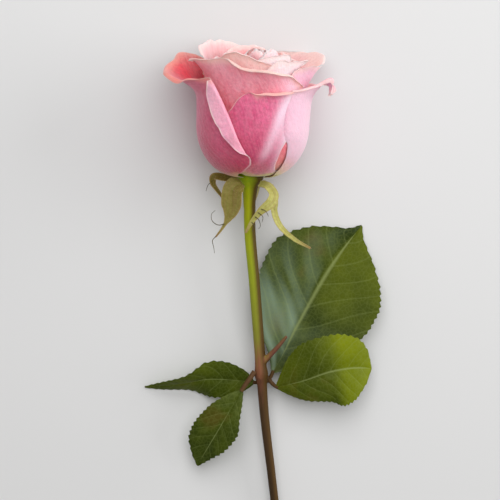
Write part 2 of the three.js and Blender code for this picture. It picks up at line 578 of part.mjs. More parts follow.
const LEFT_BLADE = {
  points: [
    [-3.1, -9.8, 4.1], [-11.9, -8.7, 5.6], [-21.6, -8.3, 6.6], [-29.4, -9.6, 6], [-38, -10.9, 3.4],
    [-46.9, -11.8, 0.7],
  ],
  ups: [[0, -0.2, 1], [0, -0.3, 1], [0, -1.6, 1], [0, -1, 1]],
  left: [[0, 0.6], [0.1, 4.5], [0.3, 7.6], [0.48, 7.8], [0.6, 6], [0.72, 4.4], [0.9, 1.8], [1, 0.35]],
  right: [
    [0, 0.6], [0.1, 4.5], [0.3, 7.8], [0.42, 8], [0.52, 6.2], [0.62, 4.6], [0.75, 3.4], [0.9, 1.6],
    [1, 0.35],
  ],
  folds: [8, 8], curl: -0.6, teeth: 11, depth: 0.6,
};
const backLeaf = [
  stalk([[-0.2, -3.4, 3.3], [0.6, -5.8, 3.3], [2, -8, 3.5], [3.4, -9.4, 3.6]], 1.1, 0.95, 4),
  stalk([[2.6, -8.7, 3.5], [3.4, -7.4, 3.8], [4.4, -5, 4.2]], 0.8, 0.8),
  stalk([[2.6, -8.8, 3.5], [4.4, -10.6, 4.5], [6.2, -11.8, 6]], 0.8, 0.8),
  stalk([[2.8, -8.9, 3.5], [0, -9.7, 3.6], [-3.8, -9.8, 4.2]], 0.8, 0.8),
  blade(END_BLADE, 8, 28),
  blade(RIGHT_BLADE, 6, 22),
  blade(LEFT_BLADE, 6, 22),
];
place(rose, "leaf_back", fused(backLeaf), LEAF);

export default rose;
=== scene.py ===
# %% [markdown]
# # A cut pink rose
# The solids of this rose are already made: twenty petals and a heart, five sepals, two leaves and a stem,
# lying on a table. This notebook grows the visible flower round them. Every petal and leaf is made again
# from the same few measures, but as thin as a real one, with its rolled rim, teeth and veins, and each
# gets a finish that behaves like living tissue. Lengths are millimetres until a mesh is made, and metres
# from then on.

# %% The frame
import math

import bpy
import numpy as np
from mathutils import Matrix, Vector


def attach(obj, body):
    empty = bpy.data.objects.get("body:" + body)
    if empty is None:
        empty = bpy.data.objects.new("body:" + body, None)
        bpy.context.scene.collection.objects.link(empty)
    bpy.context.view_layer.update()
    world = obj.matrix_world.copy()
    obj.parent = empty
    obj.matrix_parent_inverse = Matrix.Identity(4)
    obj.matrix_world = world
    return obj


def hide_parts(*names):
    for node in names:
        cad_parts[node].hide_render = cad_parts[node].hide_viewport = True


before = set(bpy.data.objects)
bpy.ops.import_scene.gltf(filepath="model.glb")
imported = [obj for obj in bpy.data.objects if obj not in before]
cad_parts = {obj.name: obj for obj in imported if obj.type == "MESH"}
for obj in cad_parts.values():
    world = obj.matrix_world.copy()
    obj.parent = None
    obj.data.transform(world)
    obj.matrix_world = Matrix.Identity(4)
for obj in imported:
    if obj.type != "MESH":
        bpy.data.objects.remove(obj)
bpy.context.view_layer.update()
MM = 0.001

# %% [markdown]
# ## The camera
# A picture of an upright flower is taken from the side. This one lies down, so the same view is from
# above, with the stem running down the picture. The bloom's height gives the scale: 0.39 mm for each
# pixel. The lens could be any, but a long one keeps the petals at the left and right as slim as they are
# in a portrait of a flower.

# %% The camera
PIXEL = 0.39  # mm of the rose that one pixel of the picture shows
PICTURE_SIDE = 500  # pixels
PICTURE_MIDDLE = (-4.9, 42.9)  # mm, the point of the table under the middle of the picture
SUBJECT_HEIGHT = 20  # mm above the table, where that scale holds
CAMERA_DISTANCE = 800  # mm from there
SENSOR = 36  # mm

camera = bpy.data.objects.new("camera", bpy.data.cameras.new("camera"))
bpy.context.scene.collection.objects.link(camera)
bpy.context.scene.camera = camera
camera.location = Vector((*PICTURE_MIDDLE, SUBJECT_HEIGHT + CAMERA_DISTANCE)) * MM
camera.data.sensor_width = SENSOR
camera.data.lens = SENSOR * CAMERA_DISTANCE / (PIXEL * PICTURE_SIDE)
camera.data.clip_start, camera.data.clip_end = 0.01, 10
print("lens", round(camera.data.lens), "mm")

# %% [markdown]
# ## Small helpers
# Colours are given as hex values, which screens read as sRGB, but the shaders reckon in linear light, so
# one function turns them over. Another adds a node of any kind with its settings and its links, which
# keeps a material as short as a recipe. The last ones bend numbers: a smooth line through a few points
# stands for every outline of this flower, because a petal's edge needs six points and not sixty.

# %% Colours and nodes
def linear(colour):
    """The linear colour of an sRGB hex value."""
    shares = [int(colour[i : i + 2], 16) / 255 for i in (1, 3, 5)]
    return [c / 12.92 if c <= 0.04045 else ((c + 0.055) / 1.055) ** 2.4 for c in shares] + [1]


def node(tree, kind, links=None, stops=(), **settings):
    """Adds a node. links maps a socket's name or number to a value, a hex colour or a node's output."""
    made = tree.nodes.new(kind)
    for name, value in settings.items():
        setattr(made, name, value)
    for place, (position, colour) in enumerate(stops):
        elements = made.color_ramp.elements
        stop = elements[place] if place < 2 else elements.new(position)
        stop.position = position
        stop.color = linear(colour)
    for key, value in (links or {}).items():
        if isinstance(value, bpy.types.NodeSocket):
            tree.links.new(value, made.inputs[key])
        else:
            made.inputs[key].default_value = linear(value) if str(value).startswith("#") else value
    return made


print("pink", [round(c, 3) for c in linear("#d988a3")])

# %% Bending numbers
RAD = math.pi / 180
LEVEL = [(-1, 0), (1, 0)]  # a line that stays at nothing


def mix(a, b, share):
    """From a, where the share is 0, to b, where it is 1."""
    return a + (b - a) * share


def smooth(x):
    """From 0 to 1 with x, setting out and arriving gently."""
    x = np.clip(x, 0, 1)
    return x * x * (3 - 2 * x)


def curve_between(a, b, leaving, arriving, u):
    """The place at u, from 0 to 1, on a curve from a to b, given its slopes at both ends."""
    turn = 3 * (b - a) - 2 * leaving - arriving
    return a + u * (leaving + u * (turn + u * (2 * (a - b) + leaving + arriving)))


def through(points, x):
    """The value at x of a smooth line through a few (x, y) points, which never swings past them."""
    px, py = np.array(points, float).T
    slope = np.diff(py) / np.diff(px)
    product = slope[:-1] * slope[1:]
    inner = np.where(product > 0, 2 * product / np.where(product > 0, slope[:-1] + slope[1:], 1), 0)
    bend = np.concatenate([slope[:1], inner, slope[-1:]])
    x = np.clip(x, px[0], px[-1])
    i = np.clip(np.searchsorted(px, x, side="right") - 1, 0, len(px) - 2)
    span = px[i + 1] - px[i]
    return curve_between(py[i], py[i + 1], bend[i] * span, bend[i + 1] * span, (x - px[i]) / span)


early = through([(0, 0), (1, 3), (2, 4)], 0.5)
print("a line from 0 through 3 to 4 passes", round(float(early), 2), "on its way")

# %% [markdown]
# ## Table and light
# The rose was photographed in front of a pale wall, by a window at its right. Lying down, it has a pale
# table under it. A wide softbox low on the right does the window's work: it lights the right flank, and
# light painted into the petals makes it almost white, while painted shade leaves the left in deep pink. A
# low light also falls across the table at a slant, so its shadow there stays faint. A soft white sky
# fills the rest.

# %% Light
SKY = 0.4
LIT_SPOT = (0, 60, 15)  # mm, the place by the bloom that the softboxes point at
SOFTBOXES = {  # place, size in mm, watts
    "window": ((1250, 300, 330), 900, 11.0),
    "ceiling": ((60, 330, 560), 750, 4.1),
}

world = bpy.data.worlds.new("studio")
bpy.context.scene.world = world
world.use_nodes = True
world.node_tree.nodes["Background"].inputs["Strength"].default_value = SKY
world.node_tree.nodes["Background"].inputs["Color"].default_value = linear("#f4f3f2")
for name, (place, size, watts) in SOFTBOXES.items():
    light = bpy.data.objects.new(name, bpy.data.lights.new(name, "AREA"))
    bpy.context.scene.collection.objects.link(light)
    light.location = Vector(place) * MM
    light.rotation_euler = (Vector(LIT_SPOT) - Vector(place)).to_track_quat("-Z", "Y").to_euler()
    light.data.size = size * MM
    light.data.energy = watts
bpy.context.scene.view_settings.view_transform = "Standard"
print(len(SOFTBOXES), "softboxes under a white sky")

# %% The table
TABLE_SIDE = 2400  # mm

bpy.ops.mesh.primitive_plane_add(size=TABLE_SIDE * MM)
table = bpy.context.object
table.name = "table"
# matte paint: no highlight, only a faint unevenness in its grey
paint = bpy.data.materials.new("pale matte table paint")
paint.use_nodes = True
board = paint.node_tree.nodes["Principled BSDF"]
board.inputs["Roughness"].default_value = 0.9
grain = node(paint.node_tree, "ShaderNodeTexNoise", {"Scale": 3.0, "Detail": 2.0})
shade = node(
    paint.node_tree, "ShaderNodeValToRGB", {0: grain.outputs["Fac"]},
    stops=[(0.3, "#d3d3d3"), (0.7, "#d7d7d6")],
)
paint.node_tree.links.new(shade.outputs[0], board.inputs["Base Color"])
table.data.materials.append(paint)
print("a pale table,", round(table.dimensions.x / MM), "mm wide")

# %% [markdown]
# ## Sheets, bars and pieces
# A petal, a leaf and a sepal are all one thing to a mesh: a thin sheet. Each is laid out as a grid of
# points that runs across and along it, and the grid is given a face on either side, closed round the
# edge. The sheet could get its thickness from a Solidify modifier, but then it would be as thick at the
# rim as in the middle, while a petal's rim thins out until light shines through. So every grid brings its
# own thickness. It also keeps three numbers on each point for the finishes to read: how far across and
# along it is and which face it is on, and how many millimetres it is from the nearest free edge.

# %% Sheets
def arc(points, axis):
    """The length along a grid's rows or columns up to each point."""
    steps = np.linalg.norm(np.diff(points, axis=axis), axis=2)
    return np.insert(np.cumsum(steps, axis=axis), 0, 0, axis=axis)


def sheet(points, across, thickness, edge, along=None):
    """A closed thin body round a grid of points, with one row of points after the other."""
    normal = np.cross(np.gradient(points, axis=1), np.gradient(points, axis=0))
    normal /= np.maximum(np.linalg.norm(normal, axis=2, keepdims=True), 1e-9)
    half = normal * thickness[..., None] / 2
    rows, columns = points.shape[:2]
    count = rows * columns
    index = np.arange(count).reshape(rows, columns)
    corners = [index[:-1, :-1], index[:-1, 1:], index[1:, 1:], index[1:, :-1]]
    front = np.stack(corners, -1).reshape(-1, 4)
    rim = np.concatenate([index[0, :-1], index[:-1, -1], index[-1, :0:-1], index[:0:-1, 0]])
    ahead = np.roll(rim, -1)
    along = arc(points, 0) if along is None else along
    grown = [np.stack([across, along, np.full_like(along, face)], -1).reshape(-1, 3) for face in (1, 0)]
    return {
        "points": np.concatenate([(points + half).reshape(-1, 3), (points - half).reshape(-1, 3)]),
        "faces": [front, front[:, ::-1] + count, np.stack([ahead, rim, rim + count, ahead + count], -1)],
        "grown": np.concatenate(grown),
        "edge": np.tile(edge.ravel(), 2),
    }


flat = np.stack(np.meshgrid(np.arange(4.0), np.arange(3.0), [0.0]), -1)[:, :, 0]
flat_sheet = sheet(flat, flat[..., 0], np.ones((3, 4)), np.ones((3, 4)))
print("a sheet of 4 by 3 points has", len(flat_sheet["points"]), "points on its two faces")

# %% Spines and bars
FAR = 10.0  # mm, said of a point that is far from any edge


def spine(points):
    """A smooth curve through a few points, given by the share of its length, with the way it points."""
    knots = np.array(points, float)
    knots = np.concatenate([[2 * knots[0] - knots[1]], knots, [2 * knots[-1] - knots[-2]]])
    gaps = np.linalg.norm(np.diff(knots, axis=0), axis=1) ** 0.5
    u = np.linspace(0, 1, 60)[:, None]
    fine = []
    for k in range(1, len(knots) - 2):
        (a, b, c, d), (before, here, after) = knots[k - 1 : k + 3], gaps[k - 1 : k + 2]
        leave = ((b - a) / before - (c - a) / (before + here) + (c - b) / here) * here
        arrive = ((c - b) / here - (d - b) / (here + after) + (d - c) / after) * here
        fine.append(curve_between(b, c, leave, arrive, u))
    fine = np.concatenate([piece[:-1] for piece in fine] + [fine[-1][-1:]])
    length = np.insert(np.cumsum(np.linalg.norm(np.diff(fine, axis=0), axis=1)), 0, 0)

    def at(share):
        where = np.asarray(share, float) * length[-1]
        return np.stack([np.interp(where, length, fine[:, k]) for k in range(3)], -1)

    def towards(share):
        step = 0.004
        share = np.asarray(share, float)
        ahead = at(np.clip(share + step, 0, 1)) - at(np.clip(share - step, 0, 1))
        return ahead / np.linalg.norm(ahead, axis=-1, keepdims=True)

    return at, towards, length[-1]


def bar(points, radius, steps, sides, grown=(0, 0, 1)):
    """A round bar along a spine, closed at both ends. radius gives its radius by the share of length."""
    at, towards, _ = spine(points)
    share = np.linspace(0, 1, steps + 1)
    ahead = towards(share)
    side = np.cross(ahead, (0.31, 0.22, 0.93))
    side /= np.linalg.norm(side, axis=1, keepdims=True)
    other = np.cross(ahead, side)
    turn = np.arange(sides) * 2 * math.pi / sides
    reach = np.broadcast_to(radius(share), share.shape)[:, None, None]
    ring = side[:, None] * np.cos(turn)[:, None] + other[:, None] * np.sin(turn)[:, None]
    rings = (at(share)[:, None] + ring * reach).reshape(-1, 3)
    index = np.arange(len(rings)).reshape(-1, sides)
    ahead_index = np.roll(index, -1, axis=1)
    quads = np.stack([index[:-1], ahead_index[:-1], ahead_index[1:], index[1:]], -1).reshape(-1, 4)
    return {
        "points": rings,
        "faces": [quads, index[0][::-1][None], index[-1][None]],
        "grown": np.tile(np.array(grown, float), (len(rings), 1)),
        "edge": np.full(len(rings), FAR),
    }


print("a test bar has", len(bar([(0, 0, 0), (0, 0, 9)], lambda t: 1.0, 4, 8)["points"]), "points")

# %% Pieces
SHARP = 50  # degrees; past that a corner, such as the one along a petal's rim, is shaded as a corner


def mesh_of(name, bodies, place=Matrix.Identity(4)):
    """One mesh of several closed bodies, in metres, with the numbers that the finishes read."""
    points = np.concatenate([body["points"] for body in bodies])
    points = points @ np.array(place.to_3x3()).T + np.array(place.translation)
    faces, first = [], 0
    for body in bodies:
        faces += [list(face) for group in body["faces"] for face in (group + first).tolist()]
        first += len(body["points"])
    mesh = bpy.data.meshes.new(name)
    mesh.from_pydata((points * MM).tolist(), [], faces)
    grown = np.concatenate([body["grown"] for body in bodies])
    mesh.attributes.new("grown", "FLOAT_VECTOR", "POINT").data.foreach_set("vector", grown.ravel())
    for name, otherwise in (("edge", FAR), ("tone", 0.0), ("rim", FAR)):
        values = [body.get(name, np.full(len(body["points"]), otherwise)) for body in bodies]
        mesh.attributes.new(name, "FLOAT", "POINT").data.foreach_set("value", np.concatenate(values))
    mesh.shade_smooth()
    mesh.set_sharp_from_angle(angle=SHARP * RAD)
    return mesh


def grow(node_name, mesh, finish):
    """Puts a finished mesh in the scene in place of its solid."""
    piece = bpy.data.objects.new("fresh_" + node_name, mesh)
    bpy.context.scene.collection.objects.link(piece)
    mesh.materials.clear()
    mesh.materials.append(finish)
    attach(piece, "root")
    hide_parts(node_name)
    return piece


print("points keep", [key for key in flat_sheet if key not in ("points", "faces")])

# %% [markdown]
# ## The finish of a petal
# A rose petal is a few cells thick. The cells of its skin are tiny cones, which make it velvety: light
# comes off it softly, with a pale glow where it is seen at a slant, and never as a sharp highlight. Much
# of the light goes into the petal and comes out again pinker than before, which is why the hollows
# between petals glow. In the shader that is subsurface scattering with a short reach, a high roughness
# and some sheen. The colour could be one pink, but the real one changes from greenish yellow at the claw
# to pink, with fine veins that fan out from the claw, a warmer inside and a pale rim. All of it is laid
# out by the numbers on the petal's own points.
# The window's light and shade are painted into that colour too: paler towards it, redder away from it.

# %% Patterns in a petal's skin
VEINS = 17  # how many broad veins cross half a petal, with finer ones between them
VEIN_STRETCH = 0.16  # a vein's wobble runs on for about 6 mm
VEIN_LEAN = 0.024  # how far a vein strays sideways for each mm it rises, as a share of half a petal
GRAIN = 1.1  # mm between the small puckers of the skin
CLOUDS = 90.0  # per metre, so that the colour drifts over about 11 mm
PETAL_LENGTH = 60  # mm, over which the colours from claw to rim are laid out


def kept_numbers(tree):
    """The numbers that a sheet keeps on its points, for a finish to read, and its place in the object."""
    grown = node(tree, "ShaderNodeAttribute", attribute_name="grown").outputs["Vector"]
    parts = node(tree, "ShaderNodeSeparateXYZ", {0: grown}).outputs
    read = {"grown": grown, "across": parts["X"], "along": parts["Y"], "front": parts["Z"]}
    for name in ("edge", "tone", "rim"):
        read[name] = node(tree, "ShaderNodeAttribute", attribute_name=name).outputs["Fac"]
    read["place"] = node(tree, "ShaderNodeTexCoord").outputs["Object"]
    return read


def petal_patterns(tree, seed):
    """What a petal's finish is laid out by: the numbers kept on its points, and noise in its skin."""
    read = kept_numbers(tree)
    up, across, place = read["along"], read["across"], read["place"]
    lean = node(tree, "ShaderNodeMath", {0: up, 1: VEIN_LEAN, 2: across}, operation="MULTIPLY_ADD")
    leaning = node(tree, "ShaderNodeCombineXYZ", {0: lean.outputs[0], 1: up}).outputs[0]
    fan = node(tree, "ShaderNodeMapping", {
        "Vector": leaning, "Location": (seed * 7.3, seed, 0), "Scale": (VEINS, VEIN_STRETCH, 0),
    })
    for name, links in {
        "vein": {"Vector": fan.outputs[0], "Scale": 1.0, "Detail": 4.0, "Roughness": 0.8},
        "cloud": {"Vector": place, "Scale": CLOUDS, "Detail": 2.0},
        "grain": {"Vector": place, "Scale": 1000 / GRAIN, "Detail": 3.0},
    }.items():
        read[name] = node(tree, "ShaderNodeTexNoise", links).outputs["Fac"]
    share = node(tree, "ShaderNodeMath", {0: up, 1: PETAL_LENGTH}, operation="DIVIDE")
    uneven = node(tree, "ShaderNodeMath", {0: read["cloud"], 1: 0.2, 2: -0.1}, operation="MULTIPLY_ADD")
    risen = node(tree, "ShaderNodeMath", {0: share.outputs[0], 1: uneven.outputs[0]}, operation="ADD")
    read["risen"] = risen.outputs[0]
    return read


print("about", 2 * VEINS, "broad veins in a petal, and a pucker every", GRAIN, "mm")

# %% Colours of a petal
RIM_WIDTH = 0.7  # mm, of the pale line along every edge
BAND = (0.8, 4.2)  # mm from the top rim over which the paler band there fades out
CLAW_END = (0.08, 0.3)  # shares of a petal's length over which its claw turns into its blade
HALF_LIT = 0.35  # the tone of a petal that is turned neither to the window nor away from it
# the deep red of the painted shade on the side away from the window
SHADED_RED = "#a63c4c"


def petal_face(tree, read, outside, inside, grit):
    """The colour of a petal's two faces with the veins and puckers in them."""
    front = node(tree, "ShaderNodeValToRGB", {0: read["risen"]}, stops=outside).outputs[0]
    back = node(tree, "ShaderNodeValToRGB", {0: read["risen"]}, stops=inside).outputs[0]
    face = node(tree, "ShaderNodeMix", {0: read["front"], 6: back, 7: front}, data_type="RGBA").outputs[2]
    lines = node(
        tree, "ShaderNodeMapRange", {0: read["vein"], 1: 0.4, 2: 0.68, 3: 0.0, 4: 0.5},
        interpolation_type="SMOOTHSTEP",
    ).outputs[0]
    deeper = node(tree, "ShaderNodeHueSaturation", {"Saturation": 1.4, "Value": 0.84, "Color": face})
    deeper = deeper.outputs[0]
    veined = node(tree, "ShaderNodeMix", {0: lines, 6: face, 7: deeper}, data_type="RGBA").outputs[2]
    pucker = node(tree, "ShaderNodeMapRange", {
        0: read["grain"], 1: 0.35, 2: 0.65, 3: 1 - grit, 4: 1 + grit / 2,
    }).outputs[0]
    return node(tree, "ShaderNodeHueSaturation", {"Value": pucker, "Color": veined}).outputs[0]


def petal_colour(tree, read, face, rim, lit_side, dimmed):
    """That colour, with painted light towards the window and painted red shade away, and paler rims."""
    low, high = lit_side[2:] or CLAW_END
    above_claw = node(tree, "ShaderNodeMapRange", {
        0: read["risen"], 1: low, 2: high, 3: 0.0, 4: lit_side[0],
    }).outputs[0]
    colour = face
    # painted light towards the window, then painted shade away from it, by the tone of each point
    for extreme, strength, shade in ((1.0, above_claw, lit_side[1]), (0.0, dimmed, SHADED_RED)):
        much = node(tree, "ShaderNodeMapRange", {
            0: read["tone"], 1: HALF_LIT, 2: extreme, 3: 0.0, 4: strength,
        }).outputs[0]
        much = node(tree, "ShaderNodeMath", {0: much, 1: read["front"]}, operation="MULTIPLY").outputs[0]
        colour = node(tree, "ShaderNodeMix", {0: much, 6: colour, 7: shade}, data_type="RGBA").outputs[2]
    band = node(
        tree, "ShaderNodeMapRange", {0: read["rim"], 1: BAND[0], 2: BAND[1], 3: 0.7, 4: 0.0},
        interpolation_type="SMOOTHSTEP",
    ).outputs[0]
    banded = node(tree, "ShaderNodeMix", {0: band, 6: colour, 7: rim[0]}, data_type="RGBA").outputs[2]
    cloud = read["cloud"]
    broken = node(tree, "ShaderNodeMapRange", {0: cloud, 1: 0.35, 2: 0.6, 3: 0.15, 4: 0.8}).outputs[0]
    pale = node(
        tree, "ShaderNodeMapRange", {0: read["edge"], 1: 0.0, 2: RIM_WIDTH, 3: broken, 4: 0.0},
        interpolation_type="SMOOTHSTEP",
    ).outputs[0]
    outwards = node(tree, "ShaderNodeMapRange", {0: read["front"], 1: 0.0, 2: 1.0, 3: 0.15, 4: 1.0})
    pale = node(tree, "ShaderNodeMath", {0: pale, 1: outwards.outputs[0]}, operation="MULTIPLY").outputs[0]
    return node(tree, "ShaderNodeMix", {0: pale, 6: banded, 7: rim[1]}, data_type="RGBA").outputs[2]


print("the pale line along a petal's edge is", RIM_WIDTH, "mm wide")

# %% How a petal's skin is made
GLOW_REACH = 0.9  # mm that light travels inside a petal; red light goes furthest


def petal_skin(name, outside, inside, rim, lit_side, dimmed, glow, grit, seed):
    """A petal's skin. outside and inside are the colours from claw to rim, as (share, colour) stops.

    rim has the colours of the band under the rim and of the line on it. lit_side says how much of which
    colour is painted in as light towards the window, and between which shares of the length, if not
    those of the claw. dimmed is how much red is painted in as shade away from it, glow how much light
    goes into the skin, and grit how uneven its puckers are.
    """
    made = bpy.data.materials.new(name)
    made.use_nodes = True
    tree = made.node_tree
    read = petal_patterns(tree, seed)
    face = petal_face(tree, read, outside, inside, grit)
    colour = petal_colour(tree, read, face, rim, lit_side, dimmed)
    raised = node(tree, "ShaderNodeMath", {0: read["vein"], 1: read["grain"]}, operation="ADD").outputs[0]
    relief = node(tree, "ShaderNodeBump", {"Height": raised, "Strength": 0.6, "Distance": 0.4 * MM})
    skin = tree.nodes["Principled BSDF"]
    tree.links.new(colour, skin.inputs["Base Color"])
    tree.links.new(relief.outputs[0], skin.inputs["Normal"])
    for label, value in {
        "Roughness": 0.55, "IOR": 1.42, "Specular IOR Level": 0.35, "Subsurface Weight": glow,
        "Subsurface Radius": (1.0, 0.75, 0.72), "Subsurface Scale": GLOW_REACH * MM, "Sheen Weight": 0.45,
        "Sheen Roughness": 0.45, "Sheen Tint": linear("#ffe9f2"),
    }.items():
        skin.inputs[label].default_value = value
    return made


print("light travels", GLOW_REACH, "mm inside a petal")

# %% A skin for every kind of petal
# all are velvety skins, which give a soft glow at a slant and no highlight
# each gets painted light towards the window by its lit_side, and some get painted red shade away from it
PETAL_SKINS = {
    # thick and deep pink, with painted light, nearly white, where the window is
    "outer": petal_skin(
        "outer rose petal skin",
        outside=[
            (0.0, "#b9b84e"), (0.08, "#dcc47a"), (0.15, "#d8848a"), (0.24, "#c75674"), (0.6, "#de7496"),
            (0.8, "#e688a2"),
        ],
        inside=[(0.0, "#e8c98c"), (0.3, "#d9606c"), (0.7, "#cf4458"), (0.8, "#df6e72"), (0.9, "#ec9890")],
        rim=("#f4c2b8", "#f9dfd0"), lit_side=(0.9, "#f8dcea"),
        dimmed=0.5, glow=0.6, grit=0.14, seed=1.0,
    ),
    # the same, with its pink inside deepened to red below the lip: painted shade
    "left": petal_skin(
        "left rose petal skin",
        outside=[
            (0.0, "#b9b84e"), (0.07, "#d8b070"), (0.14, "#be4a56"), (0.24, "#c84c68"), (0.6, "#e47c9c"),
            (0.8, "#ea90a8"),
        ],
        inside=[
            (0.0, "#e8c98c"), (0.3, "#d6465e"), (0.72, "#e01c3c"), (0.84, "#e2505c"), (0.95, "#ec9a92"),
        ],
        rim=("#e6988c", "#f9dfd0"), lit_side=(0.9, "#f8dcea"),
        dimmed=0.45, glow=0.6, grit=0.14, seed=6.0,
    ),
    # the same, cream for longer at the claw, and pink inside
    "right": petal_skin(
        "right rose petal skin",
        outside=[
            (0.0, "#b9b84e"), (0.11, "#dccc7e"), (0.19, "#e2a48e"), (0.28, "#d0687e"), (0.6, "#de7496"),
            (0.8, "#e688a2"),
        ],
        inside=[(0.0, "#e8c98c"), (0.4, "#d65878"), (0.75, "#e2869c"), (0.95, "#f2bcc8")],
        rim=("#f6cac6", "#f9dfd0"), lit_side=(0.66, "#f8dcea"),
        dimmed=0.5, glow=0.6, grit=0.14, seed=1.0,
    ),
    # thinner and cooler, nearly white at the rim
    "lilac": petal_skin(
        "lilac pink rose petal skin",
        outside=[
            (0.0, "#b9b84e"), (0.07, "#dcbc74"), (0.2, "#e08fa8"), (0.6, "#f2acc6"), (0.85, "#fccadc"),
        ],
        inside=[(0.0, "#e8c98c"), (0.4, "#e38a92"), (0.8, "#f3b8bc"), (0.95, "#f8cdc8")],
        rim=("#f8cdc8", "#fce4da"), lit_side=(0.3, "#f8dcea"),
        dimmed=0.0, glow=0.8, grit=0.06, seed=2.5,
    ),
    # salmon low down, a painted glow of the light coming through the red petals round it
    "warm": petal_skin(
        "warm rose petal skin",
        outside=[
            (0.0, "#e3c980"), (0.12, "#e69a84"), (0.25, "#e6767e"), (0.5, "#ee8492"), (0.75, "#f5a8b6"),
            (0.9, "#f8c0ca"),
        ],
        inside=[(0.0, "#e8c98c"), (0.4, "#e38080"), (0.8, "#eca098"), (1.0, "#f3bcb2")],
        rim=("#f8ccc2", "#fce4d8"), lit_side=(0.8, "#fad4e2", 0.34, 0.6),
        dimmed=0.0, glow=0.8, grit=0.07, seed=4.0,
    ),
    # pale and smooth, with a warm inside
    "pale": petal_skin(
        "pale rose petal skin",
        outside=[(0.0, "#e8d49a"), (0.4, "#f0a4a2"), (0.7, "#fccac8"), (0.9, "#fde0dd")],
        inside=[(0.0, "#e8d49a"), (0.5, "#e49090"), (0.75, "#edb2b4"), (0.95, "#f1c6c8")],
        rim=("#f8d2cc", "#fce7da"), lit_side=(0.2, "#f9e0ea"),
        dimmed=0.0, glow=0.8, grit=0.03, seed=9.0,
    ),
    # the palest, as thin as tissue paper
    "blush": petal_skin(
        "white-pink rose petal skin",
        outside=[(0.0, "#e8d49a"), (0.5, "#f6ccd2"), (0.75, "#fbe2e6"), (0.9, "#fdeaec")],
        inside=[(0.0, "#e8d49a"), (0.5, "#eeb4b4"), (0.8, "#f2c4c6"), (1.0, "#f6d2d2")],
        rim=("#fbdeda", "#fdeee4"), lit_side=(0.3, "#fae6ef"),
        dimmed=0.0, glow=0.8, grit=0.03, seed=12.0,
    ),
    # glows most, because light goes through many petals at once
    "bud": petal_skin(
        "rose heart petal skin",
        outside=[(0.0, "#e8d49a"), (0.5, "#eda8ac"), (0.75, "#f4c4c8"), (0.9, "#f8d6dc")],
        inside=[(0.0, "#e8d49a"), (0.5, "#f2b8b4"), (1.0, "#f9d6d0")],
        rim=("#f8d6d6", "#fae2de"), lit_side=(0.3, "#f8dfe8"),
        dimmed=0.0, glow=1.0, grit=0.03, seed=14.0,
    ),
}
print(len(PETAL_SKINS), "petal skins")

# %% [markdown]
# ## Layers of petals
# The bloom has a frame of its own, with its axis up the flower, tilted a little off the table. Its petals
# lie in layers, like the skins of an onion. Every layer keeps its own distance from the axis at each
# height, and layers further out flare more and sooner, so two petals never cut through each other however
# their edges are drawn. Each petal could be sculpted freely and pushed about until nothing clashed, but a
# rule for the layers settles that once, and leaves the outlines free to follow the real flower.

# %% Measures of the bloom
BLOOM_BASE = (-4.7, 71.4, 16.8)  # where the stem meets the flower
BLOOM_RISE = 10  # degrees that the flower's axis rises off the table
BLOOM_LEAN = 2.5  # degrees that it leans to the right
BODY_RADIUS = 21.9  # the outermost layer at the belly
PITCH = 1.35  # from one layer to the next
BELLY_HEIGHT = 20.6  # where the bowl of a petal turns into its wall
BLOOM_HEIGHT = 50.6  # about where the innermost rims are
DOME_RADIUS = 5.2  # the green cup that carries the petals
DOME_HEIGHT = 8.5
SEAT_RISE = 0.6  # how much higher a layer leaves the cup for each mm that it lies further in
SEAT_GAP = 0.65  # from the cup's surface to the middle of a petal
BOW = 3.2  # how far a layer leans out at the top
CLOSING = 0.45  # how strongly the inner layers close over the heart
FLARE_START = 30  # where the outermost layer starts to flare; others start later
FLARE_RUN = 12  # from there up to where its flare is full
WAVE_SIZE, WAVES_ROUND = 0.5, 5  # in and out at the rims, and how many go round the bloom
FLARES = [  # azimuth, and how far the outermost layer flares there
    (-180, 3.5), (-135, 3.2), (-112, 3.2), (-98, 5.2), (-88, 10.4), (-80, 15), (-70, 20), (-60, 11.5),
    (-45, 1.8), (-20, 4), (10, 6), (40, 5), (62, 7.4), (86, 7.6), (100, 7.2), (120, 5.6), (145, 5),
    (180, 3.5),
]
print("the cup is", 2 * DOME_RADIUS, "mm wide, and the bloom", 2 * BODY_RADIUS, "mm at its belly")

# %% Layers of petals
in_world = (
    Matrix.Translation(BLOOM_BASE)
    @ Matrix.Rotation(-(90 - BLOOM_RISE) * RAD, 4, "X")
    @ Matrix.Rotation(BLOOM_LEAN * RAD, 4, "Y")
)


def layer_of(count):
    return BODY_RADIUS - PITCH * count


def seat(layer):
    """The radius and height at which a layer's petals leave the cup."""
    height = SEAT_RISE * (1 + BODY_RADIUS - layer)
    return DOME_RADIUS * math.sqrt(1 - (height / DOME_HEIGHT) ** 2) + SEAT_GAP, height


def layer_radius(layer, azimuth, height, foot):
    """How far from the axis a layer lies at that azimuth and height."""
    down = np.clip((BELLY_HEIGHT - height) / (BELLY_HEIGHT - foot[1]), 0, 1)
    bowl = foot[0] + (layer - foot[0]) * np.sqrt(np.maximum(0, 1 - down**2))
    outwards = layer / BODY_RADIUS
    risen = ((height - BELLY_HEIGHT) / (BLOOM_HEIGHT - BELLY_HEIGHT)) ** 2
    flaring = np.maximum(0, (height - FLARE_START - 1.5 * (BODY_RADIUS - layer)) / FLARE_RUN) ** 2.2
    flare = through(FLARES, (azimuth + 180) % 360 - 180) * flaring * outwards**4.5
    bow = BOW * risen * np.minimum(1, layer / 16)
    closing = CLOSING * risen * layer * np.maximum(0, 1 - layer / 15)
    wave = WAVE_SIZE * np.sin((WAVES_ROUND * azimuth) * RAD + 0.7) * smooth((height - 33) / 8)
    wall = layer + bow + flare - closing + wave * outwards**2
    return np.where(height < BELLY_HEIGHT, bowl, wall)


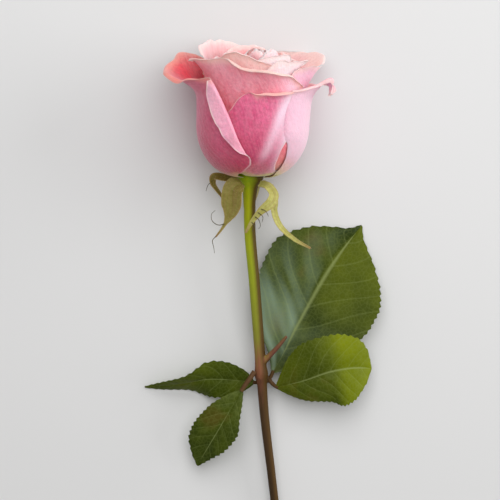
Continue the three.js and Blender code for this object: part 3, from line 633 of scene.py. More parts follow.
def in_flower(azimuth, radius, height):
    return np.stack([radius * np.sin(azimuth * RAD), -radius * np.cos(azimuth * RAD), height], -1)


lip = layer_radius(layer_of(0), np.array(-72.0), np.array(35.0), seat(layer_of(0)))
print("at its lip, 35 mm up, the outermost layer is", round(float(lip), 1), "mm from the axis")

# %% [markdown]
# ## The shape of one petal
# A petal is drawn by its outline: how high its rim is from the left edge to the right, and how many
# degrees each edge lies from its middle at every height. Its lower half is a bowl and its upper half a
# wall, and the last tenth is the rim that rolls outwards. A roll drawn as a slant would look cut from
# card, so it is bent here along a true arc. Real rims are never ruled lines either: each petal gets slow
# waves of its own, from a seeded draw, small enough to stay clear of the next layer.

# %% The surface of one petal
BOWL_ROWS, WALL_ROWS = 0.45, 0.9  # the shares of a petal's rows where the bowl and the wall end
ROLL = 55  # degrees of the line from the wall's end to the rim's; the arc turns twice that
TIGHTEST_BEND, WIDEST_BEND = 0.6, 9  # mm, the radii of the narrowest and the slackest rolls
RIPPLES = ((0.22, 5), (0.1, 13))  # mm, and how fast they come: waves in and out across a petal
RIM_WAVES = ((0.22, 7), (0.14, 17))  # the same up and down along its rim


def waves(sizes, s, phases):
    return sum(size * np.sin(often * s + phase) for (size, often), phase in zip(sizes, phases))


def petal_surface(petal, s, t):
    """Points of a petal's middle surface, for s from -1 to 1 across it and t from 0 at its claw to 1."""
    draw = np.random.default_rng(petal.get("seed", 0))
    phase = draw.uniform(0, 2 * math.pi, 4)
    foot = petal.get("foot") or seat(petal["layer"])
    bowl = 1 - np.cos(np.clip(t / BOWL_ROWS, 0, 1) * math.pi / 2)
    wall = np.clip((t - BOWL_ROWS) / (WALL_ROWS - BOWL_ROWS), 0, 1)
    rim = through(petal["rim"], s) + waves(RIM_WAVES, s, phase[:2])
    height = mix(mix(foot[1], BELLY_HEIGHT, bowl), rim, wall)
    edge = np.where(s < 0, through(petal["left"], height), through(petal["right"], height))
    azimuth = petal["azimuth"] + edge * np.abs(s)
    layer = petal["layer"] + petal.get("spiral", 0) * s - through(petal.get("inward", LEVEL), s)
    layer = layer + through(petal.get("bulge", LEVEL), s) * (1 - smooth((height - 16) / 8))
    wall_radius = layer_radius(layer, azimuth, height, foot)
    slope = np.arctan2(wall_radius - layer_radius(layer, azimuth, height - 0.5, foot), 0.5)
    radius = wall_radius + waves(RIPPLES, s, phase[2:]) * smooth((t - 0.5) / 0.4)

    # the rim rolls along an arc of its own radius, and goes on straight when it has turned far enough
    share = np.clip((t - WALL_ROWS) / (1 - WALL_ROWS), 0, 1)
    roll = 2 * RAD * through(petal.get("roll", [(-1, ROLL), (1, ROLL)]), s)
    hem = through(petal["hem"], s)
    widest = through(petal.get("bend", [(-1, WIDEST_BEND), (1, WIDEST_BEND)]), s)
    bend = np.clip(hem / np.abs(roll), TIGHTEST_BEND, widest)
    turned = np.minimum(np.abs(roll), hem * share / bend)
    beyond = hem * share - turned * bend
    turned, bend = turned * np.sign(roll), bend * np.sign(roll)
    crumple = through(petal.get("crumple", LEVEL), s) * share
    crumple = crumple * (np.sin(0.9 * azimuth + phase[0]) + 0.6 * np.sin(2.1 * azimuth + 4 * share))
    ahead = slope + turned
    radius = radius + bend * (np.cos(slope) - np.cos(ahead)) + beyond * np.sin(ahead) + crumple
    height = height + bend * (np.sin(ahead) - np.sin(slope)) + beyond * np.cos(ahead)
    return in_flower(azimuth + through(petal.get("swing", LEVEL), s) * share, radius, height)


print("rims roll over", 2 * ROLL, "degrees where nothing else is said")

# %% An edge folded back
FOLD_RADIUS = 0.9  # mm


def folded_surface(petal, s, t):
    """The same with its right edge folded back outwards: for s from 1 to 2, a band beyond the edge."""
    step = 0.01
    start = petal_surface(petal, np.minimum(s, 1), t)
    across = petal_surface(petal, np.ones_like(s), t) - petal_surface(petal, np.ones_like(s) - step, t)
    across /= np.linalg.norm(across, axis=-1, keepdims=True)
    along = petal_surface(petal, np.ones_like(s), np.minimum(1, t + step))
    along = along - petal_surface(petal, np.ones_like(s), np.maximum(0, t - step))
    out = np.cross(across, along)
    out /= np.linalg.norm(out, axis=-1, keepdims=True)
    run = np.maximum(0, s - 1) * through(petal["fold"]["width"], t)
    bent = np.minimum(through(petal["fold"]["angle"], t) * RAD, run / FOLD_RADIUS)
    rest = run - bent * FOLD_RADIUS
    lower_half = smooth((0.6 - t) / 0.2) * smooth(t / 0.3)
    crumple = 0.35 * np.sin(75 * t + 1) * np.clip(s - 1, 0, 1) ** 2 * lower_half
    side = FOLD_RADIUS * np.sin(bent) + rest * np.cos(bent)
    lift = FOLD_RADIUS * (1 - np.cos(bent)) + rest * np.sin(bent) + crumple
    return start + across * side[..., None] + out * lift[..., None]


print("the folded edge turns round a radius of", FOLD_RADIUS, "mm")

# %% A petal as a thin body
THICKNESS, RIM_THICKNESS = 0.36, 0.1  # mm
FOLD_COLUMNS = 26
HIGHLIGHT_WIDTH = 6.5  # degrees, half the width of a painted highlight streaked down a petal
HIGHLIGHT_TONE, FOLD_LIGHT = 0.34, 0.6  # how much painted light the highlight adds, and how much an edge folded back gets
LIT = [  # azimuth, and how much painted light a petal gets there from the window: 1 is full, 0 is none
    (-180, 0.35), (-110, 0.3), (-60, 0.06), (-30, 0.34), (0, 0.34), (20, 0.38), (32, 0.64), (42, 0.94),
    (75, 1), (130, 0.8), (180, 0.35),
]


def petal_body(petal, columns, rows):
    """One petal as a closed thin body. Underneath it is pressed flat where it lies on the table."""
    if "fold" in petal:
        columns = np.concatenate([columns, 1 + np.linspace(0, 1, FOLD_COLUMNS + 1)[1:]])
    s, t = np.meshgrid(columns, rows)
    points = (folded_surface if "fold" in petal else petal_surface)(petal, s, t)
    along, across = arc(points, 0), arc(points, 1)
    from_left = across + 10 if petal.get("bare_left") else across
    edge = np.minimum(along[-1:] - along, across[:, -1:] - across)
    thickness = mix(RIM_THICKNESS, THICKNESS, smooth(np.minimum(edge, across) / 2))
    edge = np.minimum(edge, from_left)
    place, back = np.array(in_world), np.array(in_world.inverted())
    if "fold" not in petal:
        world_points = points @ place[:3, :3].T + place[:3, 3]
        world_points[..., 2] = np.maximum(world_points[..., 2], THICKNESS / 2)
        points = world_points @ back[:3, :3].T + back[:3, 3]
    body = sheet(points, s, thickness, edge, along)
    turned = np.tile(smooth((s.ravel() - 1.02) / 0.2), 2)
    body["grown"][:, 2] = np.maximum(body["grown"][:, 2], turned)
    azimuth = np.degrees(np.arctan2(points[..., 0], -points[..., 1]))
    # the window's light and shade, painted into the petal's colour by azimuth
    tone = through(LIT, azimuth)
    # a painted highlight: more painted light along a streak from one azimuth and height to another
    if "streak" in petal:
        (from_azimuth, top), (to_azimuth, bottom) = petal["streak"]
        run = (points[..., 2] - bottom) / (top - bottom)
        aside = (azimuth - mix(to_azimuth, from_azimuth, run)) / HIGHLIGHT_WIDTH
        tone = tone + HIGHLIGHT_TONE * np.exp(-(aside**2)) * smooth(2 * run + 0.5) * smooth(3 - 2 * run)
    # an edge folded back gets painted light as well
    body["tone"] = np.maximum(np.tile(tone.ravel(), 2), FOLD_LIGHT * turned)
    plain = through(petal.get("plain", LEVEL), s)
    body["rim"] = np.tile((along[-1:] - along + plain).ravel(), 2)
    return body


def rows_of(bowl, wall, hem):
    """How far up the rows of a petal lie: so many in the bowl, in the wall and in the rolled rim."""
    parts = [np.linspace(0, BOWL_ROWS, bowl + 1), np.linspace(BOWL_ROWS, WALL_ROWS, wall + 1)]
    return np.concatenate([parts[0], parts[1][1:], np.linspace(WALL_ROWS, 1, hem + 1)[1:]])


def columns_of(count):
    """Columns from -1 to 1 that close up a little towards both edges."""
    even = np.linspace(-1, 1, count + 1)
    return mix(even, np.sin(even * math.pi / 2), 0.5)


print("rows", len(rows_of(24, 34, 12)), "columns", len(columns_of(64)))

# %% [markdown]
# ## The twenty petals
# The outlines follow the flower: the front petal whose rim slants up from the notch, the left one with
# its flared lip and its edge folded back like a lapel, the right one that ends in a curled tip, then the
# second round that closes over the heart. Petals that only show from behind or from above are round, with
# the same rule.

# %% Round petals
def wing(half):
    """The edge of a petal that widens from a claw into a full blade."""
    return [(1, half * 0.5), (5, half * 0.775), (13, half * 0.93), (22, half), (50, half * 0.92)]


def mirrored(points):
    return [(height, -degrees) for height, degrees in points]


def round_petal(node_name, azimuth, half, layer, height, skin, **more):
    """A petal with that rule for its outline: half its width in degrees, and the height of its rim."""
    drop = [(-1, -5), (-0.75, -1.6), (-0.35, 0), (0.3, 0.3), (0.75, -1.2), (1, -5)]
    petal = {
        "node": node_name, "azimuth": azimuth, "layer": layer, "skin": skin, "seed": abs(azimuth) + 1,
        "left": mirrored(wing(half)), "right": wing(half),
        "rim": [(s, height + down) for s, down in drop], "hem": [(-1, 0.8), (0, 1.6), (1, 0.8)],
    }
    return {**petal, **more}


print("a wing of 50 degrees is", wing(50)[0][1], "degrees wide at the claw")

# %% The three petals in front
# "left" and "right" give, for heights, how many degrees the edges lie from the middle. The other lists go
# by s, from -1 at the left edge to 1 at the right: the height of the rim, the length of its rolled hem,
# half the degrees that the hem turns, the radius of that bend, how far the petal lies inwards of its layer
# or its bowl stands out, how far the hem crumples, how many degrees it swings aside, and how many mm of
# the paler band are left out.
FRONT_PETALS = [
    {
        "node": "petal_front", "azimuth": 10, "layer": layer_of(1), "skin": "outer", "seed": 3,
        "left": mirrored([(1, 22), (5, 31), (12, 38), (20, 41), (28, 37)]),
        "right": [
            (1, 58), (2.1, 52), (3.5, 40), (5.6, 27.6), (8, 24), (12, 24.4), (15.6, 28.3), (21, 38),
            (30, 54), (38, 60),
        ],
        "rim": [(-1, 27), (-0.4, 34.9), (-0.2, 34.5), (0.1, 34.4), (0.35, 34.8), (0.65, 36), (1, 36.8)],
        # a painted highlight down it, from this azimuth and height to that one
        "streak": ((29, 27), (13, 9)),
        "plain": [(-1, 3), (-0.45, 3), (-0.2, 0), (1, 0)],
        "hem": [
            (-1, 0.7), (-0.45, 0.8), (-0.25, 1.3), (0, 2.2), (0.35, 3), (0.5, 2), (0.65, 0.5), (1, 0.4),
        ],
        "roll": [(-1, 60), (-0.2, 65), (0, 80), (0.5, 80), (1, 60)],
    },
    {
        "node": "petal_left", "azimuth": -78, "layer": layer_of(0), "skin": "left", "seed": 5,
        "left": mirrored([(1, 42), (4, 54), (10, 63), (20, 67), (47, 60)]),
        "right": [(0.6, 44), (2, 49), (4, 63), (8, 75), (10, 75), (11.3, 70.4), (25, 52.3), (40.4, 32)],
        "rim": [
            (-1, 42.5), (-0.78, 45.8), (-0.53, 46.2), (-0.33, 44.2), (-0.16, 42), (0, 40.4),
            (0.31, 37.6), (0.62, 38.8), (1, 39.6),
        ],
        "hem": [(-1, 0.8), (-0.2, 1.6), (0.1, 2.2), (0.3, 3), (0.5, 2), (0.7, 1.2), (1, 0.7)],
        "roll": [(-1, 35), (0.1, 40), (0.3, 50), (1, 35)],
        "fold": {
            "width": [
                (0, 0.6), (0.2, 0.8), (0.3, 1), (0.35, 4.2), (0.43, 7), (0.55, 8), (0.75, 6.6),
                (0.92, 2.4), (1, 1),
            ],
            "angle": [(0, 0), (0.2, 12), (0.32, 120), (0.4, 165), (0.8, 165), (0.92, 110), (1, 60)],
        },
    },
    {
        "node": "petal_right", "azimuth": 90, "layer": layer_of(0), "skin": "right", "seed": 8,
        "left": mirrored([
            (1, 34), (2.1, 39), (3.5, 44), (5.7, 43.4), (9.2, 43.8), (12.5, 45.8), (15.7, 48),
            (17.2, 52.5), (21, 57), (28, 57), (37, 49),
        ]),
        "bare_left": True, "right": wing(50),
        "inward": [(-1, 1.32), (-0.88, 0.9), (-0.72, 0.35), (-0.5, 0), (1, 0)],
        "rim": [
            (-1, 35.3), (-0.85, 36), (-0.66, 37.3), (-0.48, 38.8), (-0.37, 40.8), (-0.28, 39.6),
            (-0.1, 37.6), (0.1, 37), (0.3, 36.6), (1, 36),
        ],
        "hem": [
            (-1, 1.8), (-0.6, 1.6), (-0.44, 1.7), (-0.38, 3), (-0.31, 7.2), (-0.12, 6.8), (0.05, 7.6),
            (0.14, 2), (1, 0.8),
        ],
        "roll": [(-1, 80), (-0.45, 76), (-0.3, 68), (-0.1, 64), (0.05, 54), (0.2, 45), (1, 45)],
        "bend": [(-1, 1), (-0.42, 1.6), (-0.3, 1.2), (-0.12, 1.6), (0.05, 3.4), (0.14, 2), (1, 2)],
        "crumple": [(-1, 0), (-0.38, 0), (-0.26, 0.8), (0.03, 1), (0.12, 0), (1, 0)],
        "swing": [(-1, 0), (-0.28, 0), (0.05, -14), (0.14, -4), (1, 0)],
    },
]
print(len(FRONT_PETALS), "petals have outlines of their own")

# %% The other outer petals
OUTER_PETALS = FRONT_PETALS + [
    round_petal(
        "petal_back_right", 140, 52, layer_of(1), 46, "lilac",
        left=mirrored([
            (1, 26), (5, 38), (13, 46), (22, 48), (32, 36), (38, 18), (42, 21), (43.4, 27), (44.6, 30),
            (51, 36),
        ]),
        rim=[
            (-1, 44.4), (-0.93, 45.4), (-0.85, 46.2), (-0.7, 47.2), (-0.4, 48), (0, 47.8), (0.4, 47),
            (1, 42),
        ],
    ),
    round_petal("petal_back_left", -148, 48, layer_of(2), 43.5, "outer"),
    round_petal(
        "petal_inner_front", -15, 70, layer_of(3), 46, "warm",
        left=mirrored([(1, 35), (5, 54), (13, 65), (22, 70), (40, 66), (45, 61)]),
        right=[(2, 64), (3.5, 73), (5, 77), (13, 79), (22, 79), (50, 72)], foot=(5.7, 2),
        rim=[
            (-1, 45.2), (-0.92, 46), (-0.6, 46.4), (-0.26, 46.8), (-0.11, 45.1), (0.03, 43.9),
            (0.21, 43.6), (0.39, 43.3), (0.55, 42.3), (0.68, 41.4), (0.82, 39.4), (1, 36.8),
        ],
        hem=[
            (-1, 1.6), (-0.9, 1.4), (-0.8, 1), (-0.3, 1), (-0.12, 2.2), (0.2, 2.6), (0.5, 2),
            (0.8, 1.6), (1, 1),
        ],
        roll=[(-1, 70), (-0.9, 60), (-0.8, 50), (-0.3, 50), (-0.1, 75), (0.5, 75), (1, 50)],
        inward=[(-1, 0), (0.15, 0), (0.42, -PITCH), (0.6, -1.95), (1, -1.95)],
        bulge=[(-1, 0), (0.45, 0), (0.6, 0.4), (0.85, 0.4), (1, 0)],
        crumple=[(-1, 0.6), (-0.86, 0.5), (-0.7, 0), (1, 0)],
    ),
    round_petal(
        "petal_inner_right", 64, 28, layer_of(3), 44.2, "lilac",
        left=mirrored([
            (1, 8), (5, 10), (9, 10), (13, 20), (17, 32), (22, 30), (30, 24), (36, 20), (50, 20),
        ]),
        right=[(1, 16), (5, 22), (13, 24), (28, 18), (36, 15), (42, 15), (50, 17)],
        rim=[(-1, 40.8), (-0.8, 42.6), (-0.5, 44), (0, 44.6), (0.6, 44.9), (1, 44.5)],
        hem=[(-1, 0.6), (-0.5, 1), (0, 1), (0.6, 0.7), (1, 0.4)], roll=[(-1, 40), (1, 30)],
        inward=[(-1, 0), (0, -0.5), (0.5, -1.2), (1, -1.5)],
    ),
    round_petal(
        "petal_inner_left", -128, 40, layer_of(3), 50.6, "pale",
        right=[(1, 20), (5, 31), (13, 38), (22, 42), (40, 47), (52, 47)],
        rim=[
            (-1, 49), (-0.75, 50.4), (-0.45, 51.4), (-0.2, 50.6), (0, 51.2), (0.3, 50.8), (0.6, 50.4),
            (0.85, 49.2), (1, 47),
        ],
        inward=[(-1, 0), (-0.5, 0), (0.6, PITCH), (1, PITCH)],
    ),
]
print(len(OUTER_PETALS), "petals make the outside of the bloom")

# %% The inner petals
INNER_PETALS = [
    round_petal(
        "petal_pointed", 39, 26, layer_of(4), 45, "blush",
        left=mirrored([(1, 15), (5, 24), (13, 28), (22, 30), (50, 26)]),
        right=[
            (1, 15), (5, 24), (13, 30), (22, 30), (34, 16), (41, 13), (44.5, 28), (47.5, 48), (50, 50),
        ],
        rim=[
            (-1, 43), (-0.75, 45.8), (-0.3, 47.2), (0.1, 46.7), (0.45, 46.5), (0.75, 46.8),
            (0.85, 45.3), (0.93, 43.4), (1, 41.2),
        ],
        hem=[(-1, 0.6), (0.5, 1), (0.75, 1.7), (0.9, 0.8), (1, 0.5)],
    ),
    round_petal(
        "petal_salmon", -25, 52, layer_of(5), 49, "pale",
        rim=[
            (-1, 45.4), (-0.44, 47), (-0.21, 48.6), (0.06, 49.4), (0.27, 48.8), (0.42, 47.7),
            (0.58, 46.6), (0.85, 45.4), (1, 45.4),
        ],
    ),
    round_petal("petal_inner_back", 147, 42, layer_of(3), 42.5, "warm"),
    round_petal(
        "petal_third_front", 25, 45, layer_of(6), 46.6, "blush",
        rim=[(-1, 44.5), (-0.5, 47), (-0.15, 48), (0.25, 49), (0.6, 48.6), (1, 44.5)],
        hem=[(-1, 0.6), (0, 1), (1, 0.6)],
    ),
    round_petal("petal_third_right", 118, 46, layer_of(6), 45.5, "pale"),
    round_petal("petal_third_left", -110, 58, layer_of(6), 45, "pale"),
    round_petal("petal_fourth_front", -40, 55, layer_of(7), 45.6, "pale"),
    round_petal("petal_fourth_right", 72, 45, layer_of(7), 45.8, "pale"),
    round_petal("petal_fourth_back", -168, 50, layer_of(7), 49.4, "pale"),
    round_petal("petal_fifth_front", 15, 54, layer_of(8), 45, "pale"),
    round_petal("petal_fifth_right", 126, 52, layer_of(8), 47.6, "pale"),
    round_petal("petal_fifth_left", -110, 54, layer_of(8), 46.6, "pale"),
]
print(len(INNER_PETALS), "petals close over the heart")

# %% The twenty petals
for slot, petals in (("petal_outer", OUTER_PETALS), ("petal_inner", INNER_PETALS)):
    for petal in petals:
        body = petal_body(petal, columns_of(64), rows_of(24, 34, 12))
        mesh = mesh_of(petal["node"], [body], in_world)
        grow(petal["node"], mesh, PETAL_SKINS[petal["skin"]])
print("the last petal has", len(mesh.polygons), "faces")

# %% [markdown]
# ## The heart
# The innermost petals never open. They are wound round each other, each a golden angle further on than
# the one before, which is the step that most flowers take. A slim core holds them together.

# %% The heart
HEART_PETALS = 7
GOLDEN_ANGLE = 137.5  # degrees
heart_bodies = [
    bar(
        [(0, 0, DOME_HEIGHT + 0.3), (0, 0, 20), (0.4, 0, 32), (1.2, 0, 43)],
        lambda t: through([(0, 2.6), (0.25, 3.6), (0.6, 2.2), (1, 0.9)], t),
        steps=24, sides=16, grown=(0, 20, 1),
    )
]
# from the outermost one to the innermost: closer to the axis, wound further round it and rolled less
for k in range(HEART_PETALS):
    share = k / (HEART_PETALS - 1)
    azimuth = (60 + GOLDEN_ANGLE * k + 180) % 360 - 180
    half, layer, height = mix(78, 100, share), mix(7.2, 2, share), mix(46.6, 47.6, share)
    petal = round_petal("heart", azimuth, half, layer, height, "blush")
    longest = mix(4.5, 2.2, share)
    petal.update(foot=(1.5, mix(10.5, 18, share)), spiral=0.4, seed=20 + k)
    petal.update(hem=[(-1, longest / 2), (0, longest), (1, longest / 2)], roll=[(-1, -32), (1, -32)])
    body = petal_body(petal, columns_of(44), rows_of(14, 22, 8))
    risen = np.maximum(0, body["points"][:, 2] - BELLY_HEIGHT) / (BLOOM_HEIGHT - BELLY_HEIGHT)
    body["points"][:, 0] += 1.6 * risen**2
    heart_bodies.append(body)
grow("heart", mesh_of("heart", heart_bodies, in_world), PETAL_SKINS["bud"])

# %% [markdown]
# ## The green finishes
# A leaf is darker and glossier above than below, because its upper skin carries a layer of wax. Side
# veins leave the midrib at a slant, and a net of small veins fills the spaces between them. Each is a
# shade of green, so the material is built from the large to the small: the plain green, patches of it,
# side veins, net, pale midrib. The stem could be painted in zones, but it really changes slowly from
# fresh green under the flower to reddish brown wood further down, so its colour follows the length of the
# stem.

# %% Green finishes
SIDE_VEINS = 7  # side veins that a half leaf would have if they ran along its whole length
NET_SIZE = 1.7  # mm between the small veins of a leaf


def green_skin(name, roughness, coat, strength=0.5):
    """An empty green finish with a bump for relief. Returns its material, its tree and its bump node."""
    made = bpy.data.materials.new(name)
    made.use_nodes = True
    skin = made.node_tree.nodes["Principled BSDF"]
    skin.inputs["Roughness"].default_value = roughness
    skin.inputs["Specular IOR Level"].default_value = 0.08
    skin.inputs["Coat Weight"].default_value = coat
    skin.inputs["Coat Roughness"].default_value = 0.32
    relief = node(made.node_tree, "ShaderNodeBump", {"Strength": strength, "Distance": 0.3 * MM})
    made.node_tree.links.new(relief.outputs[0], skin.inputs["Normal"])
    return made, made.node_tree, relief


def laid_over(tree, colour, layers):
    """Lays thin colours over another. Each goes by a number: from where to where it changes, how strongly
    the colour shows at both, and the colour."""
    for number, start, end, at_start, at_end, paint in layers:
        share = node(tree, "ShaderNodeMapRange", {
            0: number, 1: start, 2: end, 3: at_start, 4: at_end,
        }).outputs[0]
        colour = node(tree, "ShaderNodeMix", {0: share, 6: colour, 7: paint}, data_type="RGBA").outputs[2]
    return colour


print("a half leaf has", SIDE_VEINS, "side veins and a net of", NET_SIZE, "mm")

# %% The finish of a leaf
PATCHES = 70.0  # per metre, so that a patch of older green is about 14 mm across

# a waxy skin: dull green with a painted hazy sheen, a bluish reflection of the sky, and not a mirror
leaf_skin, tree, relief = green_skin("waxy rose leaf", 0.5, 0.02, 0.25)
read = kept_numbers(tree)
place, tone = read["place"], read["tone"]
patch = node(tree, "ShaderNodeTexNoise", {"Vector": place, "Scale": PATCHES, "Detail": 3.0}).outputs["Fac"]
old_green = [(0.3, "#253204"), (0.58, "#3f4a0c"), (0.72, "#4c4812")]
old = node(tree, "ShaderNodeValToRGB", {0: patch}, stops=old_green).outputs[0]
# painted light: a brighter yellow-green where light comes through a leaflet, laid on by its tone
lit_through_green = [(0.3, "#5c6702"), (0.7, "#6e7804")]
lit_through = node(tree, "ShaderNodeValToRGB", {0: patch}, stops=lit_through_green).outputs[0]
plain = node(tree, "ShaderNodeMix", {0: tone, 6: old, 7: lit_through}, data_type="RGBA").outputs[2]
# a painted sheen, bluish like a reflection of the sky, lies in streaks along the side veins where the tone
# is below nothing
slanted = node(tree, "ShaderNodeMapping", {"Vector": read["grown"], "Scale": (0.8, 0.9, 0)}).outputs[0]
sheen_noise = node(tree, "ShaderNodeTexNoise", {"Vector": slanted, "Scale": 1.0, "Detail": 1.5}).outputs["Fac"]
sheen_streaks = node(tree, "ShaderNodeMapRange", {0: sheen_noise, 1: 0.36, 2: 0.66, 3: -0.1, 4: -1.5}).outputs[0]
painted_sheen = node(tree, "ShaderNodeMath", {0: tone, 1: sheen_streaks}, operation="MULTIPLY", use_clamp=True).outputs[0]
sheened = node(tree, "ShaderNodeMix", {0: painted_sheen, 6: plain, 7: "#7c907a"}, data_type="RGBA").outputs[2]
# over it lie the net, the side veins, the midrib and the red margin
cells = {"Vector": place, "Scale": 1000 / NET_SIZE}
net = node(tree, "ShaderNodeTexVoronoi", cells, feature="DISTANCE_TO_EDGE").outputs["Distance"]
to_vein = node(tree, "ShaderNodeMath", {0: read["along"], 1: 0.5}, operation="PINGPONG").outputs[0]
to_midrib = node(tree, "ShaderNodeMath", {0: read["across"]}, operation="ABSOLUTE").outputs[0]
top = laid_over(tree, sheened, [
    (net, 0.0, 0.12, 0.14, 0.0, "#7d8848"),
    (to_vein, 0.015, 0.06, 0.13, 0.0, "#8d9a5c"),
    (to_midrib, 0.01, 0.045, 0.5, 0.0, "#8d985e"),
    (read["edge"], 0.1, 0.5, 0.7, 0.0, "#5f3a2c"),
])
below = laid_over(tree, "#76855a", [(to_vein, 0.015, 0.06, 0.13, 0.0, "#a3ab7c")])
green = node(tree, "ShaderNodeMix", {0: read["front"], 6: below, 7: top}, data_type="RGBA").outputs[2]
tree.links.new(green, tree.nodes["Principled BSDF"].inputs["Base Color"])
tree.links.new(net, relief.inputs["Height"])
print(leaf_skin.name, "has", len(tree.nodes), "nodes")

# %% The finish of a sepal
DOWN = 900.0  # per metre, so that the down changes every 1.1 mm

# a downy skin: it scatters light, so it looks paler and greyer than a leaf
sepal_skin, tree, relief = green_skin("downy rose sepal", 0.55, 0.1)
read = kept_numbers(tree)
place, lying = read["place"], read["grown"]
down = node(tree, "ShaderNodeTexNoise", {"Vector": place, "Scale": DOWN, "Detail": 3.0}).outputs["Fac"]
dull = node(tree, "ShaderNodeValToRGB", {0: down}, stops=[(0.35, "#685e20"), (0.7, "#7e7434")]).outputs[0]
light = node(tree, "ShaderNodeValToRGB", {0: down}, stops=[(0.35, "#b4b45c"), (0.7, "#c8ca7c")]).outputs[0]
outer = node(tree, "ShaderNodeMix", {0: read["tone"], 6: dull, 7: light}, data_type="RGBA").outputs[2]
green = node(tree, "ShaderNodeMix", {0: read["front"], 6: "#c0bc7a", 7: outer}, data_type="RGBA").outputs[2]
# over it lie brown fibres along its length, a dry margin and a reddish tip
lengthwise = node(tree, "ShaderNodeMapping", {"Vector": lying, "Scale": (5.0, 1.3, 0)}).outputs[0]
fibre = node(tree, "ShaderNodeTexNoise", {"Vector": lengthwise, "Scale": 1.0, "Detail": 3.0}).outputs["Fac"]
green = laid_over(tree, green, [
    (fibre, 0.4, 0.65, 0.0, 0.5, "#94784a"),
    (read["edge"], 0.05, 1.0, 0.75, 0.0, "#b89c6c"),
    (read["along"], 0.8, 1.0, 0.0, 0.55, "#7c4a36"),
])
tree.links.new(green, tree.nodes["Principled BSDF"].inputs["Base Color"])
tree.links.new(down, relief.inputs["Height"])
print(sepal_skin.name, "has", len(tree.nodes), "nodes")

# %% The finish of the stem
STREAKS = (1500, 60, 1500)  # per metre, so that a streak is 0.7 mm wide and 17 mm long
YOUNG_END, OLD_END = 0.075, -0.125  # m along the stem, between which its bark changes colour

# young bark: satin, finely streaked along its length, green where it is young and brown where it is woody
stem_skin, tree, relief = green_skin("rose stem bark", 0.5, 0.05, 0.4)
place = node(tree, "ShaderNodeTexCoord").outputs["Object"]
height = node(tree, "ShaderNodeSeparateXYZ", {0: place}).outputs["Y"]
streaks = node(tree, "ShaderNodeMapping", {"Vector": place, "Scale": STREAKS}).outputs[0]
streak = node(tree, "ShaderNodeTexNoise", {"Vector": streaks, "Scale": 1.0, "Detail": 3.0}).outputs["Fac"]
uneven = node(tree, "ShaderNodeMath", {0: streak, 1: 0.02, 2: -0.01}, operation="MULTIPLY_ADD").outputs[0]
shifted = node(tree, "ShaderNodeMath", {0: height, 1: uneven}, operation="ADD").outputs[0]
down_stem = node(tree, "ShaderNodeMapRange", {
    0: shifted, 1: YOUNG_END, 2: OLD_END, 3: 0.0, 4: 1.0,
}).outputs[0]
bark = node(
    tree, "ShaderNodeValToRGB", {0: down_stem},
    stops=[
        (0.0, "#7fa012"), (0.06, "#a3a816"), (0.2, "#8f9a24"), (0.33, "#80802e"), (0.385, "#84563c"),
        (0.42, "#66402e"), (0.47, "#493522"), (0.62, "#3c2c1b"), (1.0, "#402f1d"),
    ],
).outputs[0]
# the side turned to the right is darkened to brown, as painted shade, and the side shoot, which stands out
# to the right above the leaves, is redder
normal = node(tree, "ShaderNodeNewGeometry").outputs["Normal"]
painted_shade_side = node(tree, "ShaderNodeSeparateXYZ", {0: normal}).outputs["X"]
aside = node(tree, "ShaderNodeSeparateXYZ", {0: place}).outputs["X"]
off_stem = node(tree, "ShaderNodeMapRange", {0: aside, 1: 0.002, 2: 0.004, 3: 0.0, 4: 0.75}).outputs[0]
bark = laid_over(tree, bark, [
    (painted_shade_side, -0.15, 0.55, 0.0, 0.95, "#4c3616"),
    (height, -0.02, -0.01, 0.0, off_stem, "#6c3f39"),
])
tree.links.new(bark, tree.nodes["Principled BSDF"].inputs["Base Color"])
tree.links.new(streak, relief.inputs["Height"])
print(stem_skin.name, "has", len(tree.nodes), "nodes")

# %% [markdown]
# ## The shape of a blade
# Leaves and sepals share one rule. A curve is the midrib, and each half spreads from it to its outline,
# folded up a little. A leaf's margin has teeth that point to its tip, and between its side veins the leaf
# bulges upwards like a quilt, because the veins grow more slowly than the tissue between them. The
# quilting could be a bump in the material, but it shows at the outline and in the soft highlights, so it
# is modelled.

# %% The shape of a blade
VEIN_SLANT = 0.75  # how far towards the tip a side vein runs for each mm away from the midrib
RIB = 0.55  # mm, half the width of a midrib
BLADE_COLUMNS, BLADE_ROWS = 61, 171
BLADE_CROWDING = 1.2  # above 1 the columns crowd towards the midrib
MARGIN_THICKNESS = 0.16  # mm
RIB_THICKNESS, RIB_SINKS = 0.5, 0.25  # mm that the midrib adds, and that it lies lower than the blade


def vein_rise(reach, s, t):
    """How far towards the tip a side vein has run at s, as a share of the blade's length. reach is how far
    it is from the midrib there, as the same kind of share."""
    return VEIN_SLANT * reach + 0.05 * s**2 - 0.012 * np.sin(17 * t + 2 * np.sign(s))


